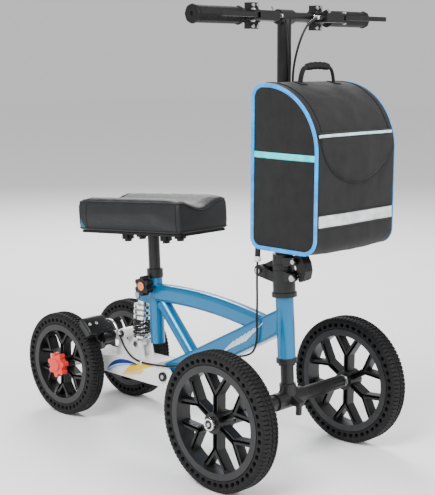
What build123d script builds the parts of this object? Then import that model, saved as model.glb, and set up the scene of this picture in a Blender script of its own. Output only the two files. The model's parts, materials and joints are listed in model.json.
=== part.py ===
"""Knee scooter: four airless tyres, folding mast, sprung swing arm, knee pad, brakes and bag.

Lengths in mm, +Z up, +X forward, +Y to the rider's left.  While modelling, x is measured from
the front axle and z from the ground; save() moves each piece to the record's origin, which is
the middle of the ground rectangle that the scooter covers.
"""
from build123d import *
from math import atan2, cos, degrees, radians, sin, tan
import os

# ---------------------------------------------------------------- driving dimensions
WHEELBASE = 656
FRONT_TRACK = 448
REAR_TRACK = 225
BAR_HALF_LENGTH = 281
BAR_HEIGHT = 1000
FIT = 0.05                      # radial clearance of a shaft in its bore
FACE_GAP = 0.5                  # gap between faces that turn past each other

# wheels
FRONT_TYRE_RADIUS = 152.4
FRONT_TYRE_WIDTH = 46
FRONT_RIM_RADIUS = 124
REAR_TYRE_RADIUS = 132
REAR_TYRE_WIDTH = 43
REAR_RIM_RADIUS = 103
RIM_FLANGE_DEPTH = 6
RIM_BARREL = 9
SPOKE_COUNT = 6
SPOKE_DEPTH = 24
SPOKE_WALL = 3
HUB_RADIUS = 23
FRONT_HUB_LENGTH = 44
REAR_HUB_LENGTH = 24
AXLE_RADIUS = 6
BEARING_RADIUS = 14
BEARING_WIDTH = 9

# steering column
STEERING_LEAN = 3.6             # degrees, top leaning back
STEERER_RADIUS = 15
HEAD_TUBE_RADIUS = 20.5
HEAD_TUBE_LOW = 247
HEAD_TUBE_HIGH = 387
CUP_HEIGHT = 10
CUP_RADIUS = 24
UPPER_CUP_RADIUS = 28.5
FRONT_TUBE_RADIUS = 16

# folding joint and mast
STUB_X = 32                     # pin that points down in front of the axle tube
STUB_TOP = 142
STUB_LENGTH = 20
STUB_RADIUS = 7
FOLD_BASE_HIGH = 448
FOLD_RADIUS = 25.5
FOLD_PIN = (-76, 440)           # x, z of the hinge pin
FOLD_PIN_RADIUS = 4
FOLD_EAR_GAP = 12               # half the gap between the ears
EAR_THICKNESS = 8
EAR_RADIUS = 13
CATCH = (25, 436)
LATCH_PIN = (27, 473)
LEVER_HALF_WIDTH = 13
LEVER_OUTLINE = [(-7, 9), (3, 17), (14, 14), (24, -2), (28, -20), (24, -38), (15, -44), (9, -39),
                 (10, -24), (2, -12), (-7, -7)]     # x, z from the latch pin
MAST_LEAN = 0.57
MAST_FOOT = (-20.8, 455)        # x, z where the mast leaves the folding joint
FOLD_HEAD_HIGH = 483
MAST_RADIUS = 17
MAST_HIGH = 760
STEM_RADIUS = 15.25
STEM_LOW = 640
STEM_BORE = 13
CLAMP_RADIUS = 23
CLAMP_HEIGHT = 26

# handlebar
BAR_RADIUS = 11
GRIP_START = 143
GRIP_RADIUS = 18
GRIP_FLANGE_RADIUS = 20
GRIP_FLANGE = 6
BRACKET_Y = 105
BRACKET_WIDTH = 30
BRACKET_RADIUS = 16.5
BRACKET_EAR_HEIGHT = 27
LEVER_PIVOT = (46, 150)         # forward of the bar, outboard of the mast
LEVER_REACH = 70
LEVER_TIP_Y = 268
LEVER_THICKNESS = 10
PARKING_PIN = (50, 92)
PARKING_PIN_HEIGHT = 19

# frame
BEAM_WIDTH = 50
BEAM_WALL = 2.5
BEAM_OUTLINE = [(-10, 364), (-395, 159), (-376, 138), (-160, 221), (-10, 305)]
ARCH_WIDTH = 34
ARCH_HEIGHT = 44
ARCH_CORNER = 12
ARCH_LINE = [(-425, 334), (-258, 336), (-60, 309)]
BRACE_TOP = (-410, 312)
BRACE_FOOT = (-300, 193)
BRACE_RADIUS = 17
SEAT_LEAN = 3.0
SEAT_TUBE_FOOT = (-430, 206)
SEAT_TUBE_RADIUS = 18
SEAT_TUBE_HIGH = 372
SEAT_COLLAR_RADIUS = 20.25
SEAT_COLLAR_HEIGHT = 21
SEAT_POST_RADIUS = 14.7
SEAT_POST_LOW = 270
SEAT_KNOB_Z = 355
SEAT_KNOB_RADIUS = 25
SEAT_KNOB_FACE = 50
SEAT_KNOB_BACK = 28

# swing arm, shock and brakes
PIVOT = (-370, 137)
PIVOT_BOLT_RADIUS = 6
PIVOT_LUG_RADIUS = 20
ARM_HALF_WIDTH = 37
ARM_WALL = 4
ARM_REAR = -WHEELBASE + 56
ARM_LOW = 108
ARM_HIGH = 162
TOWER_FRONT = -462
TOWER_HIGH = 203
SHOCK_TOP = (-482, 322)
SHOCK_FOOT = (-490, 195)
SHOCK_BOLT_RADIUS = 4
SHOCK_EYE_HALF = 12
SHOCK_FOOT_CLEARANCE = 0.8
SPRING_RADIUS = 24
SPRING_WIRE = 2.8
SPRING_TURNS = 3.5
SPRING_SEAT = (17, 22)          # along the shock, from its foot
COLLARS = (62, 48, 34)          # lower faces, back from the shock's top
BRAKE_PIN = (-WHEELBASE + 111, 212)
NOODLE_SEAT = (BRAKE_PIN[0] - 18, 252)
BRAKE_TUBE_RADIUS = 9
BRAKE_SHOE_GAP = 4
BRAKE_SHOE_ANGLES = (40, 56)

# knee pad
PAD_FRONT = -263
PAD_LENGTH = 378
PAD_WIDTH = 176
PAD_THICKNESS = 81
PAD_PITCH = 4.5
PAD_MIDDLE_Z = 531.7
PAD_DIP = 19
PAD_DIP_HALF_WIDTH = 70
BOARD_THICKNESS = 6
PLATE_THICKNESS = 4
PLATE_SIZE = (176, 78)
PAD_KNOBS = [(-516, -24), (-516, 24), (-378, -24), (-378, 24)]
PAD_KNOB_RADIUS = 15
PAD_KNOB_HEIGHT = 20

# bag
BAG_DEPTH = 180
BAG_HALF_WIDTH = 130
BAG_LOW = 515
BAG_HIGH = 862
BAG_FRONT_ARC = 140
BAG_WALL = 3
HANDLE_X = 68
HANDLE_HALF_WIDTH = 55
HANDLE_HIGH = 900

# cables
CABLE_RADIUS = 2.5
SLEEVE_RADIUS = 6.5

FRONT_AXLE_X = (WHEELBASE + REAR_TYRE_RADIUS - BAG_DEPTH) / 2
SIDES = {"left": 1, "right": -1}


# ---------------------------------------------------------------- helpers
def save(name, *solids):
    """Write the solids of one piece, moved to the record's origin."""
    moved = [Pos(FRONT_AXLE_X, 0, 0) * solid for shape in solids for solid in shape.solids()]
    piece = moved[0] if len(moved) == 1 else Compound(children=moved)
    export_step(piece, f"parts/{name}.step")


def leaning(x, z, lean):
    """Plane at (x, z) whose own z axis leans back by the given angle."""
    angle = radians(lean)
    return Plane(origin=(x, 0, z), x_dir=(cos(angle), 0, sin(angle)), z_dir=(-sin(angle), 0, cos(angle)))


def ring(plane, low, high, outer, inner=0):
    """Round piece about the plane's z axis, between two heights along it."""
    section = Circle(outer) - Circle(inner) if inner else Circle(outer)
    return extrude(plane.offset(low) * section, high - low)


def across(x, z, y0, y1, outer, inner=0):
    """Round piece along Y at (x, z), between y0 and y1."""
    low, high = sorted((y0, y1))
    return ring(Plane(origin=(x, 0, z), x_dir=(1, 0, 0), z_dir=(0, 1, 0)), low, high, outer, inner)


def rod(start, end, outer, inner=0):
    """Round piece between two points."""
    line = Vector(*end) - Vector(*start)
    return ring(Plane(origin=start, z_dir=line), 0, line.length, outer, inner)


def plate(outline, y0, y1):
    """Side-view outline (x, z) given a thickness from y0 to y1."""
    low, high = sorted((y0, y1))
    face = outline if isinstance(outline, Sketch) else Polygon(*outline, align=None)
    return Pos(0, high, 0) * extrude(Plane.XZ * face, high - low, dir=(0, -1, 0))


def slab(outline, z0, z1):
    """Top-view outline (x, y) given a thickness from z0 to z1."""
    return Pos(0, 0, z0) * extrude(Plane.XY * Polygon(*outline, align=None), z1 - z0, dir=(0, 0, 1))


def block(x0, x1, y0, y1, z0, z1):
    """Box between six coordinates."""
    size = (abs(x1 - x0), abs(y1 - y0), abs(z1 - z0))
    return Pos((x0 + x1) / 2, (y0 + y1) / 2, (z0 + z1) / 2) * Box(*size)


def both(shape):
    """The shape and its mirror image across the centre plane."""
    return [shape, mirror(shape, about=Plane.XZ)]


def link(first, second, first_radius, second_radius):
    """Side-view outline that wraps two circles."""
    circles = Pos(*first) * Circle(first_radius) + Pos(*second) * Circle(second_radius)
    return make_hull(circles.edges())


def lobed(radius, lobe_radius, count):
    """Star knob outline with round lobes."""
    outline = Circle(radius - lobe_radius * 1.1)
    for spot in PolarLocations(radius - lobe_radius, count):
        outline += spot * Circle(lobe_radius)
    return outline


def cable(points, radius, bend_share=0.45):
    """Round cable along straight runs that are joined by tangent arcs."""
    corners = [Vector(*point) for point in points]
    radii = []
    for before, here, after in zip(corners, corners[1:], corners[2:]):
        first, second = here - before, after - here
        turn = radians(first.get_angle(second))
        radii.append(bend_share * min(first.length, second.length) / tan(turn / 2))
    print("cable bend radii", [round(value) for value in radii])
    route = FilletPolyline(*points, radius=radii)
    return sweep(Plane(origin=route @ 0, z_dir=route % 0) * Circle(radius), path=route)


STEERING = leaning(0, FRONT_TYRE_RADIUS, STEERING_LEAN)
MAST = leaning(*MAST_FOOT, MAST_LEAN)
SEAT = leaning(*SEAT_TUBE_FOOT, SEAT_LEAN)


def steering_at(z):
    """Distance along the steering axis from the front axle to height z."""
    return (z - FRONT_TYRE_RADIUS) / cos(radians(STEERING_LEAN))


def mast_at(z):
    """Distance along the mast from its foot to height z."""
    return (z - MAST_FOOT[1]) / cos(radians(MAST_LEAN))


def seat_at(z):
    """Distance along the seat tube from its foot to height z."""
    return (z - SEAT_TUBE_FOOT[1]) / cos(radians(SEAT_LEAN))


# ---------------------------------------------------------------- wheels
def wheel_profile(x, z, y, outline):
    """Solid of revolution about the axle from (radius, offset along the axle) points."""
    axle = Plane(origin=(x, y, z), x_dir=(0, 0, 1), z_dir=(-1, 0, 0))
    return axle * revolve(Polygon(*outline, align=None), axis=Axis.Y, revolution_arc=360)


def spoke_outline(rim_inner, stem_width, branch_width):
    """Y-shaped spokes from the hub to the rim."""
    fork = HUB_RADIUS + (rim_inner - HUB_RADIUS) * 0.42
    spread = radians(17)
    outline = Sketch()
    stem = Pos(0, (HUB_RADIUS + fork) / 2) * Rectangle(stem_width, fork - HUB_RADIUS + 10)
    shape = stem
    for side in (-1, 1):
        end = Vector(side * (rim_inner + 2) * sin(spread), (rim_inner + 2) * cos(spread))
        line = end - Vector(0, fork)
        middle = (end + Vector(0, fork)) * 0.5
        turn = degrees(atan2(line.Y, line.X)) - 90
        shape += Pos(middle.X, middle.Y) * Rot(0, 0, turn) * Rectangle(branch_width, line.length + 4)
    for spot in PolarLocations(0, SPOKE_COUNT):
        outline += spot * shape
    return outline


def rim(x, z, y, radius, width, hub_length):
    """Hub, Y-shaped channel spokes and rim barrel with two flanges."""
    barrel_outer = radius - RIM_FLANGE_DEPTH
    barrel_inner = barrel_outer - RIM_BARREL
    edge = width / 2 - 2
    lip = edge - 4
    outline = [
        (barrel_inner, -edge), (radius, -edge), (radius, -lip), (barrel_outer, -lip),
        (barrel_outer, lip), (radius, lip), (radius, edge), (barrel_inner, edge),
    ]
    body = wheel_profile(x, z, y, outline)
    face = Plane(origin=(x, y - SPOKE_DEPTH / 2, z), x_dir=(1, 0, 0), z_dir=(0, 1, 0))
    spokes = extrude(face * spoke_outline(barrel_inner, 15, 11), SPOKE_DEPTH)
    pocket = face * spoke_outline(barrel_inner - 9, 15 - 2 * SPOKE_WALL, 11 - 2 * SPOKE_WALL)
    spokes -= extrude(pocket, SPOKE_DEPTH / 2 - SPOKE_WALL / 2)
    spokes -= extrude(Pos(0, SPOKE_DEPTH / 2 + SPOKE_WALL / 2, 0) * pocket, SPOKE_DEPTH)
    half = hub_length / 2
    body += spokes + across(x, z, y - half, y + half, HUB_RADIUS)
    body -= across(x, z, y - half, y + half, AXLE_RADIUS + 2)
    for side in (-1, 1):
        body -= across(x, z, y + side * (half - BEARING_WIDTH), y + side * half, BEARING_RADIUS)
    return body


def tyre(x, z, y, radius, width, rim_radius):
    """Airless tyre seated on the rim barrel between and over the flanges."""
    seat = rim_radius - RIM_FLANGE_DEPTH
    half = width / 2
    lip = half - 6
    depth = radius - rim_radius
    right = [
        (seat, lip), (rim_radius, lip), (rim_radius, half - 2.5), (rim_radius + depth * 0.35, half),
        (radius - depth * 0.3, half), (radius - depth * 0.1, half - 4), (radius, half - 10),
    ]
    left = [(point, -offset) for point, offset in reversed(right)]
    return wheel_profile(x, z, y, right + left)


def wheel(name, x, z, y, radius, width, rim_radius, hub_length):
    """Write one wheel's rim and tyre, and give back the two bearings on its axle."""
    half = hub_length / 2
    save(f"{name}_rim", rim(x, z, y, rim_radius, width, hub_length))
    save(f"{name}_tyre", tyre(x, z, y, radius, width, rim_radius))
    ends = [(y - half, y - half + BEARING_WIDTH), (y + half - BEARING_WIDTH, y + half)]
    return [across(x, z, a, b, BEARING_RADIUS - FIT, AXLE_RADIUS) for a, b in ends]


def wheels():
    """All four wheels and their bearings."""
    front, rear = [], []
    for side, sign in SIDES.items():
        front += wheel(f"front_{side}", 0, FRONT_TYRE_RADIUS, sign * FRONT_TRACK / 2,
                       FRONT_TYRE_RADIUS, FRONT_TYRE_WIDTH, FRONT_RIM_RADIUS, FRONT_HUB_LENGTH)
        rear += wheel(f"rear_{side}", -WHEELBASE, REAR_TYRE_RADIUS, sign * REAR_TRACK / 2,
                      REAR_TYRE_RADIUS, REAR_TYRE_WIDTH, REAR_RIM_RADIUS, REAR_HUB_LENGTH)
    save("front_bearings", *front)
    save("rear_bearings", *rear)


# ---------------------------------------------------------------- frame
def arch_space(inset=0):
    """Curved tube between the seat tube and the beam, as a solid rounded bar."""
    route = ThreePointArc(*[(x, 0, z) for x, z in ARCH_LINE])
    section = RectangleRounded(ARCH_WIDTH - 2 * inset, ARCH_HEIGHT - 2 * inset, ARCH_CORNER - inset)
    return sweep(Plane(origin=route @ 0, x_dir=(0, 1, 0), z_dir=route % 0) * section, path=route)


def hollow_beam(outline, half_width, wall, edge_radius):
    """Boxed tube from a side-view outline, with rounded long edges."""
    outer = plate(outline, -half_width, half_width)
    sides = [edge for edge in outer.edges() if abs(abs(edge.center().Y) - half_width) < 0.01]
    long_edges = [edge for edge in sides if edge.length > 2 * half_width]
    outer = fillet(long_edges, edge_radius)
    face = offset(Polygon(*outline, align=None), -wall, kind=Kind.INTERSECTION)
    inner = plate(face, -half_width + wall, half_width - wall)
    return outer, inner


def frame():
    """Blue welded frame and what is fixed to it."""
    head_low, head_high = steering_at(HEAD_TUBE_LOW), steering_at(HEAD_TUBE_HIGH)
    seat_high = seat_at(SEAT_TUBE_HIGH)
    save("head_tube", ring(STEERING, head_low, head_high, HEAD_TUBE_RADIUS, HEAD_TUBE_RADIUS - 3))
    head_space = ring(STEERING, head_low - 60, head_high + 60, HEAD_TUBE_RADIUS)

    knob_boss = across(*seat_knob_centre(), -SEAT_TUBE_RADIUS + 3, -SEAT_KNOB_BACK + 1, 9)
    bore = ring(SEAT, -5, seat_high + 5, SEAT_POST_RADIUS + FIT)
    knob_hole = across(*seat_knob_centre(), 0, -SEAT_KNOB_BACK, 4 + FIT)
    ear = plate(link(SHOCK_TOP, (SHOCK_TOP[0] + 34, SHOCK_TOP[1]), 13, 16), SHOCK_EYE_HALF + 1,
                SHOCK_EYE_HALF + 5)
    seat_tube = ring(SEAT, 0, seat_high, SEAT_TUBE_RADIUS) + knob_boss + both(ear)
    save("seat_tube", seat_tube - bore - knob_hole - across(*SHOCK_TOP, -40, 40, SHOCK_BOLT_RADIUS))
    seat_space = ring(SEAT, -20, seat_high + 20, SEAT_TUBE_RADIUS)

    outer, inner = hollow_beam(BEAM_OUTLINE, BEAM_WIDTH / 2, BEAM_WALL, 7)
    lug_half = ARM_HALF_WIDTH - ARM_WALL - FACE_GAP
    lug = across(*PIVOT, -lug_half, lug_half, PIVOT_LUG_RADIUS)
    beam = outer - inner - head_space + lug
    save("main_beam", beam - across(*PIVOT, -lug_half, lug_half, PIVOT_BOLT_RADIUS + FIT + 4))
    bushes = [(-lug_half, -lug_half + 24), (lug_half - 24, lug_half)]
    save("pivot_bushes", *[
        across(*PIVOT, a, b, PIVOT_BOLT_RADIUS + FIT + 4, PIVOT_BOLT_RADIUS + FIT) for a, b in bushes])
    head_start = ARM_HALF_WIDTH + FACE_GAP
    bolt = across(*PIVOT, -head_start, head_start, PIVOT_BOLT_RADIUS)
    for sign in (-1, 1):
        bolt += across(*PIVOT, sign * head_start, sign * (head_start + 6), 11)
    save("frame_bolts", bolt, bolt_across(SHOCK_TOP, SHOCK_EYE_HALF + 5))

    arch = arch_space()
    save("arch_tube", arch - arch_space(BEAM_WALL) - outer - seat_space - head_space)
    brace_ends = (BRACE_TOP[0], 0, BRACE_TOP[1]), (BRACE_FOOT[0], 0, BRACE_FOOT[1])
    brace = rod(*brace_ends, BRACE_RADIUS, BRACE_RADIUS - BEAM_WALL)
    brace = brace - outer - arch - seat_space
    save("brace_tube", max(brace.solids(), key=lambda solid: solid.volume))

    cups, bearings = [], []
    for low, radius in ((head_low - CUP_HEIGHT, CUP_RADIUS), (head_high, UPPER_CUP_RADIUS)):
        cups.append(ring(STEERING, low, low + CUP_HEIGHT, radius, CUP_RADIUS - 4))
        bearings.append(ring(STEERING, low, low + CUP_HEIGHT, CUP_RADIUS - 4, STEERER_RADIUS + FIT))
    save("headset", *cups, *bearings)
    save("seat_collar", ring(SEAT, seat_high, seat_high + SEAT_COLLAR_HEIGHT, SEAT_COLLAR_RADIUS,
                             SEAT_POST_RADIUS + FIT))


def seat_knob_centre():
    """Side-view place of the seat clamp knob."""
    return SEAT_TUBE_FOOT[0] - (SEAT_KNOB_Z - SEAT_TUBE_FOOT[1]) * tan(radians(SEAT_LEAN)), SEAT_KNOB_Z


def bolt_across(place, half, radius=SHOCK_BOLT_RADIUS):
    """Bolt along Y with a head and a nut outside +half and -half."""
    bolt = across(*place, -half, half, radius)
    for sign in (-1, 1):
        bolt += across(*place, sign * half, sign * (half + 5), radius * 1.75)
    return bolt


# ---------------------------------------------------------------- steering column
def steering():
    """Steerer, axle foot, front axle and the lower half of the folding joint."""
    race_low = steering_at(HEAD_TUBE_LOW) - CUP_HEIGHT - FACE_GAP
    steerer = ring(STEERING, 20, steering_at(FOLD_BASE_HIGH) - 12, STEERER_RADIUS)
    steerer += ring(STEERING, race_low - 6, race_low, STEERER_RADIUS + 4)
    save("steerer", steerer)

    tube_half = FRONT_TRACK / 2 - FRONT_HUB_LENGTH / 2 - 12
    axle = (0, FRONT_TYRE_RADIUS)
    axle_half = FRONT_TRACK / 2 + FRONT_HUB_LENGTH / 2 + 10
    axle_rod = across(*axle, -axle_half, axle_half, AXLE_RADIUS)
    spacer_end = FRONT_TRACK / 2 - FRONT_HUB_LENGTH / 2 - FACE_GAP
    spacer = across(*axle, tube_half - 25, spacer_end, AXLE_RADIUS + 6, AXLE_RADIUS)
    nut_start = FRONT_TRACK / 2 + FRONT_HUB_LENGTH / 2 + FACE_GAP
    nut = extrude(Plane(origin=(0, nut_start + 1.5, FRONT_TYRE_RADIUS), z_dir=(0, 1, 0))
                  * RegularPolygon(11, 6), 8)
    nut += across(*axle, nut_start, nut_start + 1.5, 13.5)
    nut -= across(*axle, 0, axle_half + 20, AXLE_RADIUS)
    save("front_axle", axle_rod, *both(nut), *both(spacer))

    foot = across(*axle, -46, 46, FRONT_TUBE_RADIUS + 4)
    foot += ring(STEERING, 0, 36, STEERER_RADIUS + 4)
    gusset = Plane.YZ * Polygon((-46, FRONT_TYRE_RADIUS), (46, FRONT_TYRE_RADIUS),
                                (18, FRONT_TYRE_RADIUS + 34), (-18, FRONT_TYRE_RADIUS + 34), align=None)
    foot += Pos(-4, 0, 0) * extrude(gusset, 8, dir=(1, 0, 0))
    foot += plate([(0, 148), (24, STUB_TOP), (40, STUB_TOP), (40, STUB_TOP + 10), (0, 172)], -8, 8)
    foot += ring(Plane(origin=(STUB_X, 0, STUB_TOP - STUB_LENGTH)), 0, STUB_LENGTH + 2, STUB_RADIUS)
    foot += across(*axle, -tube_half, tube_half, FRONT_TUBE_RADIUS)
    foot -= across(*axle, -tube_half, tube_half, AXLE_RADIUS + 6)
    foot -= ring(STEERING, 20, 60, STEERER_RADIUS)
    save("front_axle_tube", foot)

    base_low = steering_at(HEAD_TUBE_HIGH) + CUP_HEIGHT + FACE_GAP
    base_high = steering_at(FOLD_BASE_HIGH)
    base = ring(STEERING, base_low, base_high, FOLD_RADIUS)
    for sign in (-1, 1):
        inside, outside = sign * FOLD_EAR_GAP, sign * (FOLD_EAR_GAP + EAR_THICKNESS)
        ear = plate([(-15, 425), FOLD_PIN, (-15, 441)], inside, outside)
        ear += plate(link(FOLD_PIN, (-30, 430), EAR_RADIUS, 11), inside, outside)
        catch = plate(link(CATCH, (0, CATCH[1]), 8, 11), inside, outside)
        base += ear + catch
    base -= ring(STEERING, base_low, base_high - 12, STEERER_RADIUS)
    base -= across(*FOLD_PIN, -40, 40, FOLD_PIN_RADIUS + FIT)
    base -= across(*CATCH, -40, 40, FOLD_PIN_RADIUS + FIT)
    base -= block(FOLD_PIN[0] - 20, -46, -FOLD_EAR_GAP, FOLD_EAR_GAP, 420, 470)
    save("fold_base", base)
    ear_face = FOLD_EAR_GAP + EAR_THICKNESS
    save("fold_bolts", *[bolt_across(place, ear_face, FOLD_PIN_RADIUS) for place in (FOLD_PIN, CATCH)])


# ---------------------------------------------------------------- mast and folding joint
def mast():
    """Upper half of the folding joint, mast tube and height clamp."""
    split = steering_at(FOLD_BASE_HIGH) + FACE_GAP
    head = ring(STEERING, split, split + 12, FOLD_RADIUS)
    head += ring(MAST, 2, mast_at(FOLD_HEAD_HIGH), FOLD_RADIUS - 2)
    head += plate([FOLD_PIN, (FOLD_PIN[0] + 4, FOLD_PIN[1] + 13), (-20, 478), (-20, 452), (-50, 452)],
                  -FOLD_EAR_GAP + FACE_GAP, FOLD_EAR_GAP - FACE_GAP)
    head += across(*FOLD_PIN, -FOLD_EAR_GAP + FACE_GAP, FOLD_EAR_GAP - FACE_GAP, EAR_RADIUS)
    for sign in (-1, 1):
        lug = plate(link(LATCH_PIN, (0, LATCH_PIN[1] - 4), 7, 10), sign * 14, sign * 20)
        head += lug
    head -= ring(MAST, 12, 60, MAST_RADIUS)
    head -= across(*FOLD_PIN, -40, 40, FOLD_PIN_RADIUS + FIT)
    head -= across(*LATCH_PIN, -40, 40, 3 + FIT)
    save("fold_head", head)
    top = mast_at(MAST_HIGH)
    save("lower_mast", ring(MAST, 12, top, MAST_RADIUS, STEM_RADIUS + FIT))
    clamp_low = top - CLAMP_HEIGHT
    clamp = ring(MAST, clamp_low, top, CLAMP_RADIUS)
    middle = clamp_low + CLAMP_HEIGHT / 2
    clamp += MAST * Pos(-CLAMP_RADIUS - 5, 0, middle) * Box(26, 26, CLAMP_HEIGHT - 6)
    clamp -= ring(MAST, clamp_low, top, MAST_RADIUS)
    clamp -= MAST * Pos(-CLAMP_RADIUS - 8, 0, middle) * Box(40, 4, CLAMP_HEIGHT)
    clamp_bolt_x = -CLAMP_RADIUS - 8
    bolt_plane = Plane(origin=MAST.from_local_coords((clamp_bolt_x, 0, middle)), z_dir=(0, 1, 0))
    clamp -= ring(bolt_plane, -30, 30, 3 + FIT)
    save("height_clamp", clamp)
    bolt = ring(bolt_plane, -22, 22, 3) + ring(bolt_plane, -22, -13.5, 6)
    save("mast_bolts", bolt, bolt_across(LATCH_PIN, 20, 3))
    lever = ring(bolt_plane, 13.5, 24, 8) - ring(bolt_plane, 0, 40, 3 + FIT)
    arm = Pos(clamp_bolt_x, 0, middle) * Pos(-4, 19, -26) * Box(8, 8, 46)
    lever += MAST * arm - ring(bolt_plane, 0, 40, 3 + FIT)
    save("clamp_lever", lever)


def latch():
    """Latch arm in front of the catch bolt, and its large plastic lever."""
    shaft = across(*LATCH_PIN, -30, 30, 3 + FIT)
    arm = plate(link(LATCH_PIN, (LATCH_PIN[0] + 9, CATCH[1] - 4), 7, 5), -8, 8)
    arm -= across(*CATCH, -30, 30, 8)
    outline = [(LATCH_PIN[0] + x, LATCH_PIN[1] + z) for x, z in LEVER_OUTLINE]
    handle = plate(outline, -LEVER_HALF_WIDTH, LEVER_HALF_WIDTH)
    handle = fillet(handle.edges().filter_by(Axis.Y), 3)
    handle -= plate(link(LATCH_PIN, (LATCH_PIN[0] + 9, CATCH[1] - 4), 7, 5), -8, 8)
    save("fold_latch", arm - shaft, max((handle - shaft).solids(), key=lambda solid: solid.volume))


# ---------------------------------------------------------------- handlebar
def handlebar():
    """Stem, bar, grips, brake lever brackets, levers and parking pins."""
    bar_x = MAST_FOOT[0] - (BAR_HEIGHT - MAST_FOOT[1]) * tan(radians(MAST_LEAN))
    bar = (bar_x, BAR_HEIGHT)
    tee_radius = BAR_RADIUS + 5
    stem = ring(MAST, mast_at(STEM_LOW), mast_at(BAR_HEIGHT), STEM_RADIUS, STEM_BORE)
    bar_end = BAR_HALF_LENGTH - GRIP_FLANGE
    tee = stem + across(*bar, -22, 22, tee_radius) + across(*bar, -bar_end, bar_end, BAR_RADIUS)
    save("handlebar", tee - across(*bar, -bar_end, bar_end, BAR_RADIUS - 2.5))

    def eight_sided(y0, y1, radius):
        plane = Plane(origin=(bar[0], y0, bar[1]), x_dir=(1, 0, 0), z_dir=(0, 1, 0))
        return extrude(plane * RegularPolygon(radius, 8, rotation=22.5), y1 - y0)

    grip = eight_sided(GRIP_START, BAR_HALF_LENGTH, GRIP_RADIUS)
    grip += eight_sided(BAR_HALF_LENGTH - GRIP_FLANGE, BAR_HALF_LENGTH, GRIP_FLANGE_RADIUS)
    grip += eight_sided(GRIP_START, GRIP_START + GRIP_FLANGE, GRIP_FLANGE_RADIUS)
    grip -= across(*bar, 0, bar_end, BAR_RADIUS)

    near, far = BRACKET_Y - BRACKET_WIDTH / 2, BRACKET_Y + BRACKET_WIDTH / 2
    pivot_x, pivot_y = bar_x + LEVER_PIVOT[0], LEVER_PIVOT[1]
    bracket = across(*bar, near, far, BRACKET_RADIUS)
    bracket += block(bar_x - 9, bar_x + 9, near + 3, far - 3,
                     BAR_HEIGHT - BRACKET_EAR_HEIGHT, BAR_HEIGHT + BRACKET_EAR_HEIGHT)
    beam_outline = [(bar_x + 10, near), (bar_x + 38, near - 12), (bar_x + 56, near - 12),
                    (pivot_x + 10, pivot_y + 8), (pivot_x - 10, pivot_y + 8), (bar_x + 10, far)]
    bracket += slab(beam_outline, BAR_HEIGHT - 10, BAR_HEIGHT + 10)
    slot = LEVER_THICKNESS / 2 + FACE_GAP
    bracket -= block(pivot_x - 16, pivot_x + 40, pivot_y - 12, pivot_y + 20,
                     BAR_HEIGHT - slot, BAR_HEIGHT + slot)
    upright = Plane(origin=(pivot_x, pivot_y, BAR_HEIGHT))
    bracket -= ring(upright, -20, 20, 3 + FIT)
    bracket -= across(*bar, 0, 200, BAR_RADIUS)
    bolts = []
    for z in (-BRACKET_EAR_HEIGHT + 5.5, BRACKET_EAR_HEIGHT - 5.5):
        for y in (BRACKET_Y - 7, BRACKET_Y + 7):
            start, end = (bar_x - 9, y, BAR_HEIGHT + z), (bar_x + 9, y, BAR_HEIGHT + z)
            bracket -= rod(start, end, 2)
            bolts.append(rod(start, end, 2) + rod(end, (bar_x + 13, y, BAR_HEIGHT + z), 3.8))
    cap_x, cap_y = bar_x + PARKING_PIN[0], PARKING_PIN[1]
    bracket -= ring(Plane(origin=(cap_x, cap_y, BAR_HEIGHT)), 2, 20, 2.5 + FIT)
    bracket += rod((bar_x + 46, near - 9, BAR_HEIGHT), (bar_x + 44, near - 28, BAR_HEIGHT), 4)

    lever = ring(upright, -LEVER_THICKNESS / 2, LEVER_THICKNESS / 2, 8)
    reach = bar_x + LEVER_REACH
    blade = [(pivot_x - 4, pivot_y - 5), (pivot_x + 9, pivot_y - 6), (reach + 6, pivot_y + 26),
             (reach + 8, LEVER_TIP_Y - 4), (reach + 2, LEVER_TIP_Y), (reach - 4, LEVER_TIP_Y - 4),
             (reach - 7, pivot_y + 34), (pivot_x - 6, pivot_y + 6)]
    lever += slab(blade, BAR_HEIGHT - LEVER_THICKNESS / 2, BAR_HEIGHT + LEVER_THICKNESS / 2)
    lever -= ring(upright, -20, 20, 3 + FIT)
    pin = ring(upright, -14, 14, 3) + ring(upright, 10, 13, 5) + ring(upright, -13, -10, 5)
    parking = ring(Plane(origin=(cap_x, cap_y, BAR_HEIGHT)), 2, PARKING_PIN_HEIGHT, 2.5)
    parking += ring(Plane(origin=(cap_x, cap_y, BAR_HEIGHT)), PARKING_PIN_HEIGHT - 5, PARKING_PIN_HEIGHT, 5)

    for side, shape in zip(SIDES, both(lever)):
        save(f"{side}_brake_lever", shape)
    save("grips", *both(grip))
    save("brackets", *both(bracket))
    save("parking_pins", *both(parking))
    save("handlebar_bolts", *[shape for bolt in bolts + [pin] for shape in both(bolt)])


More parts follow.
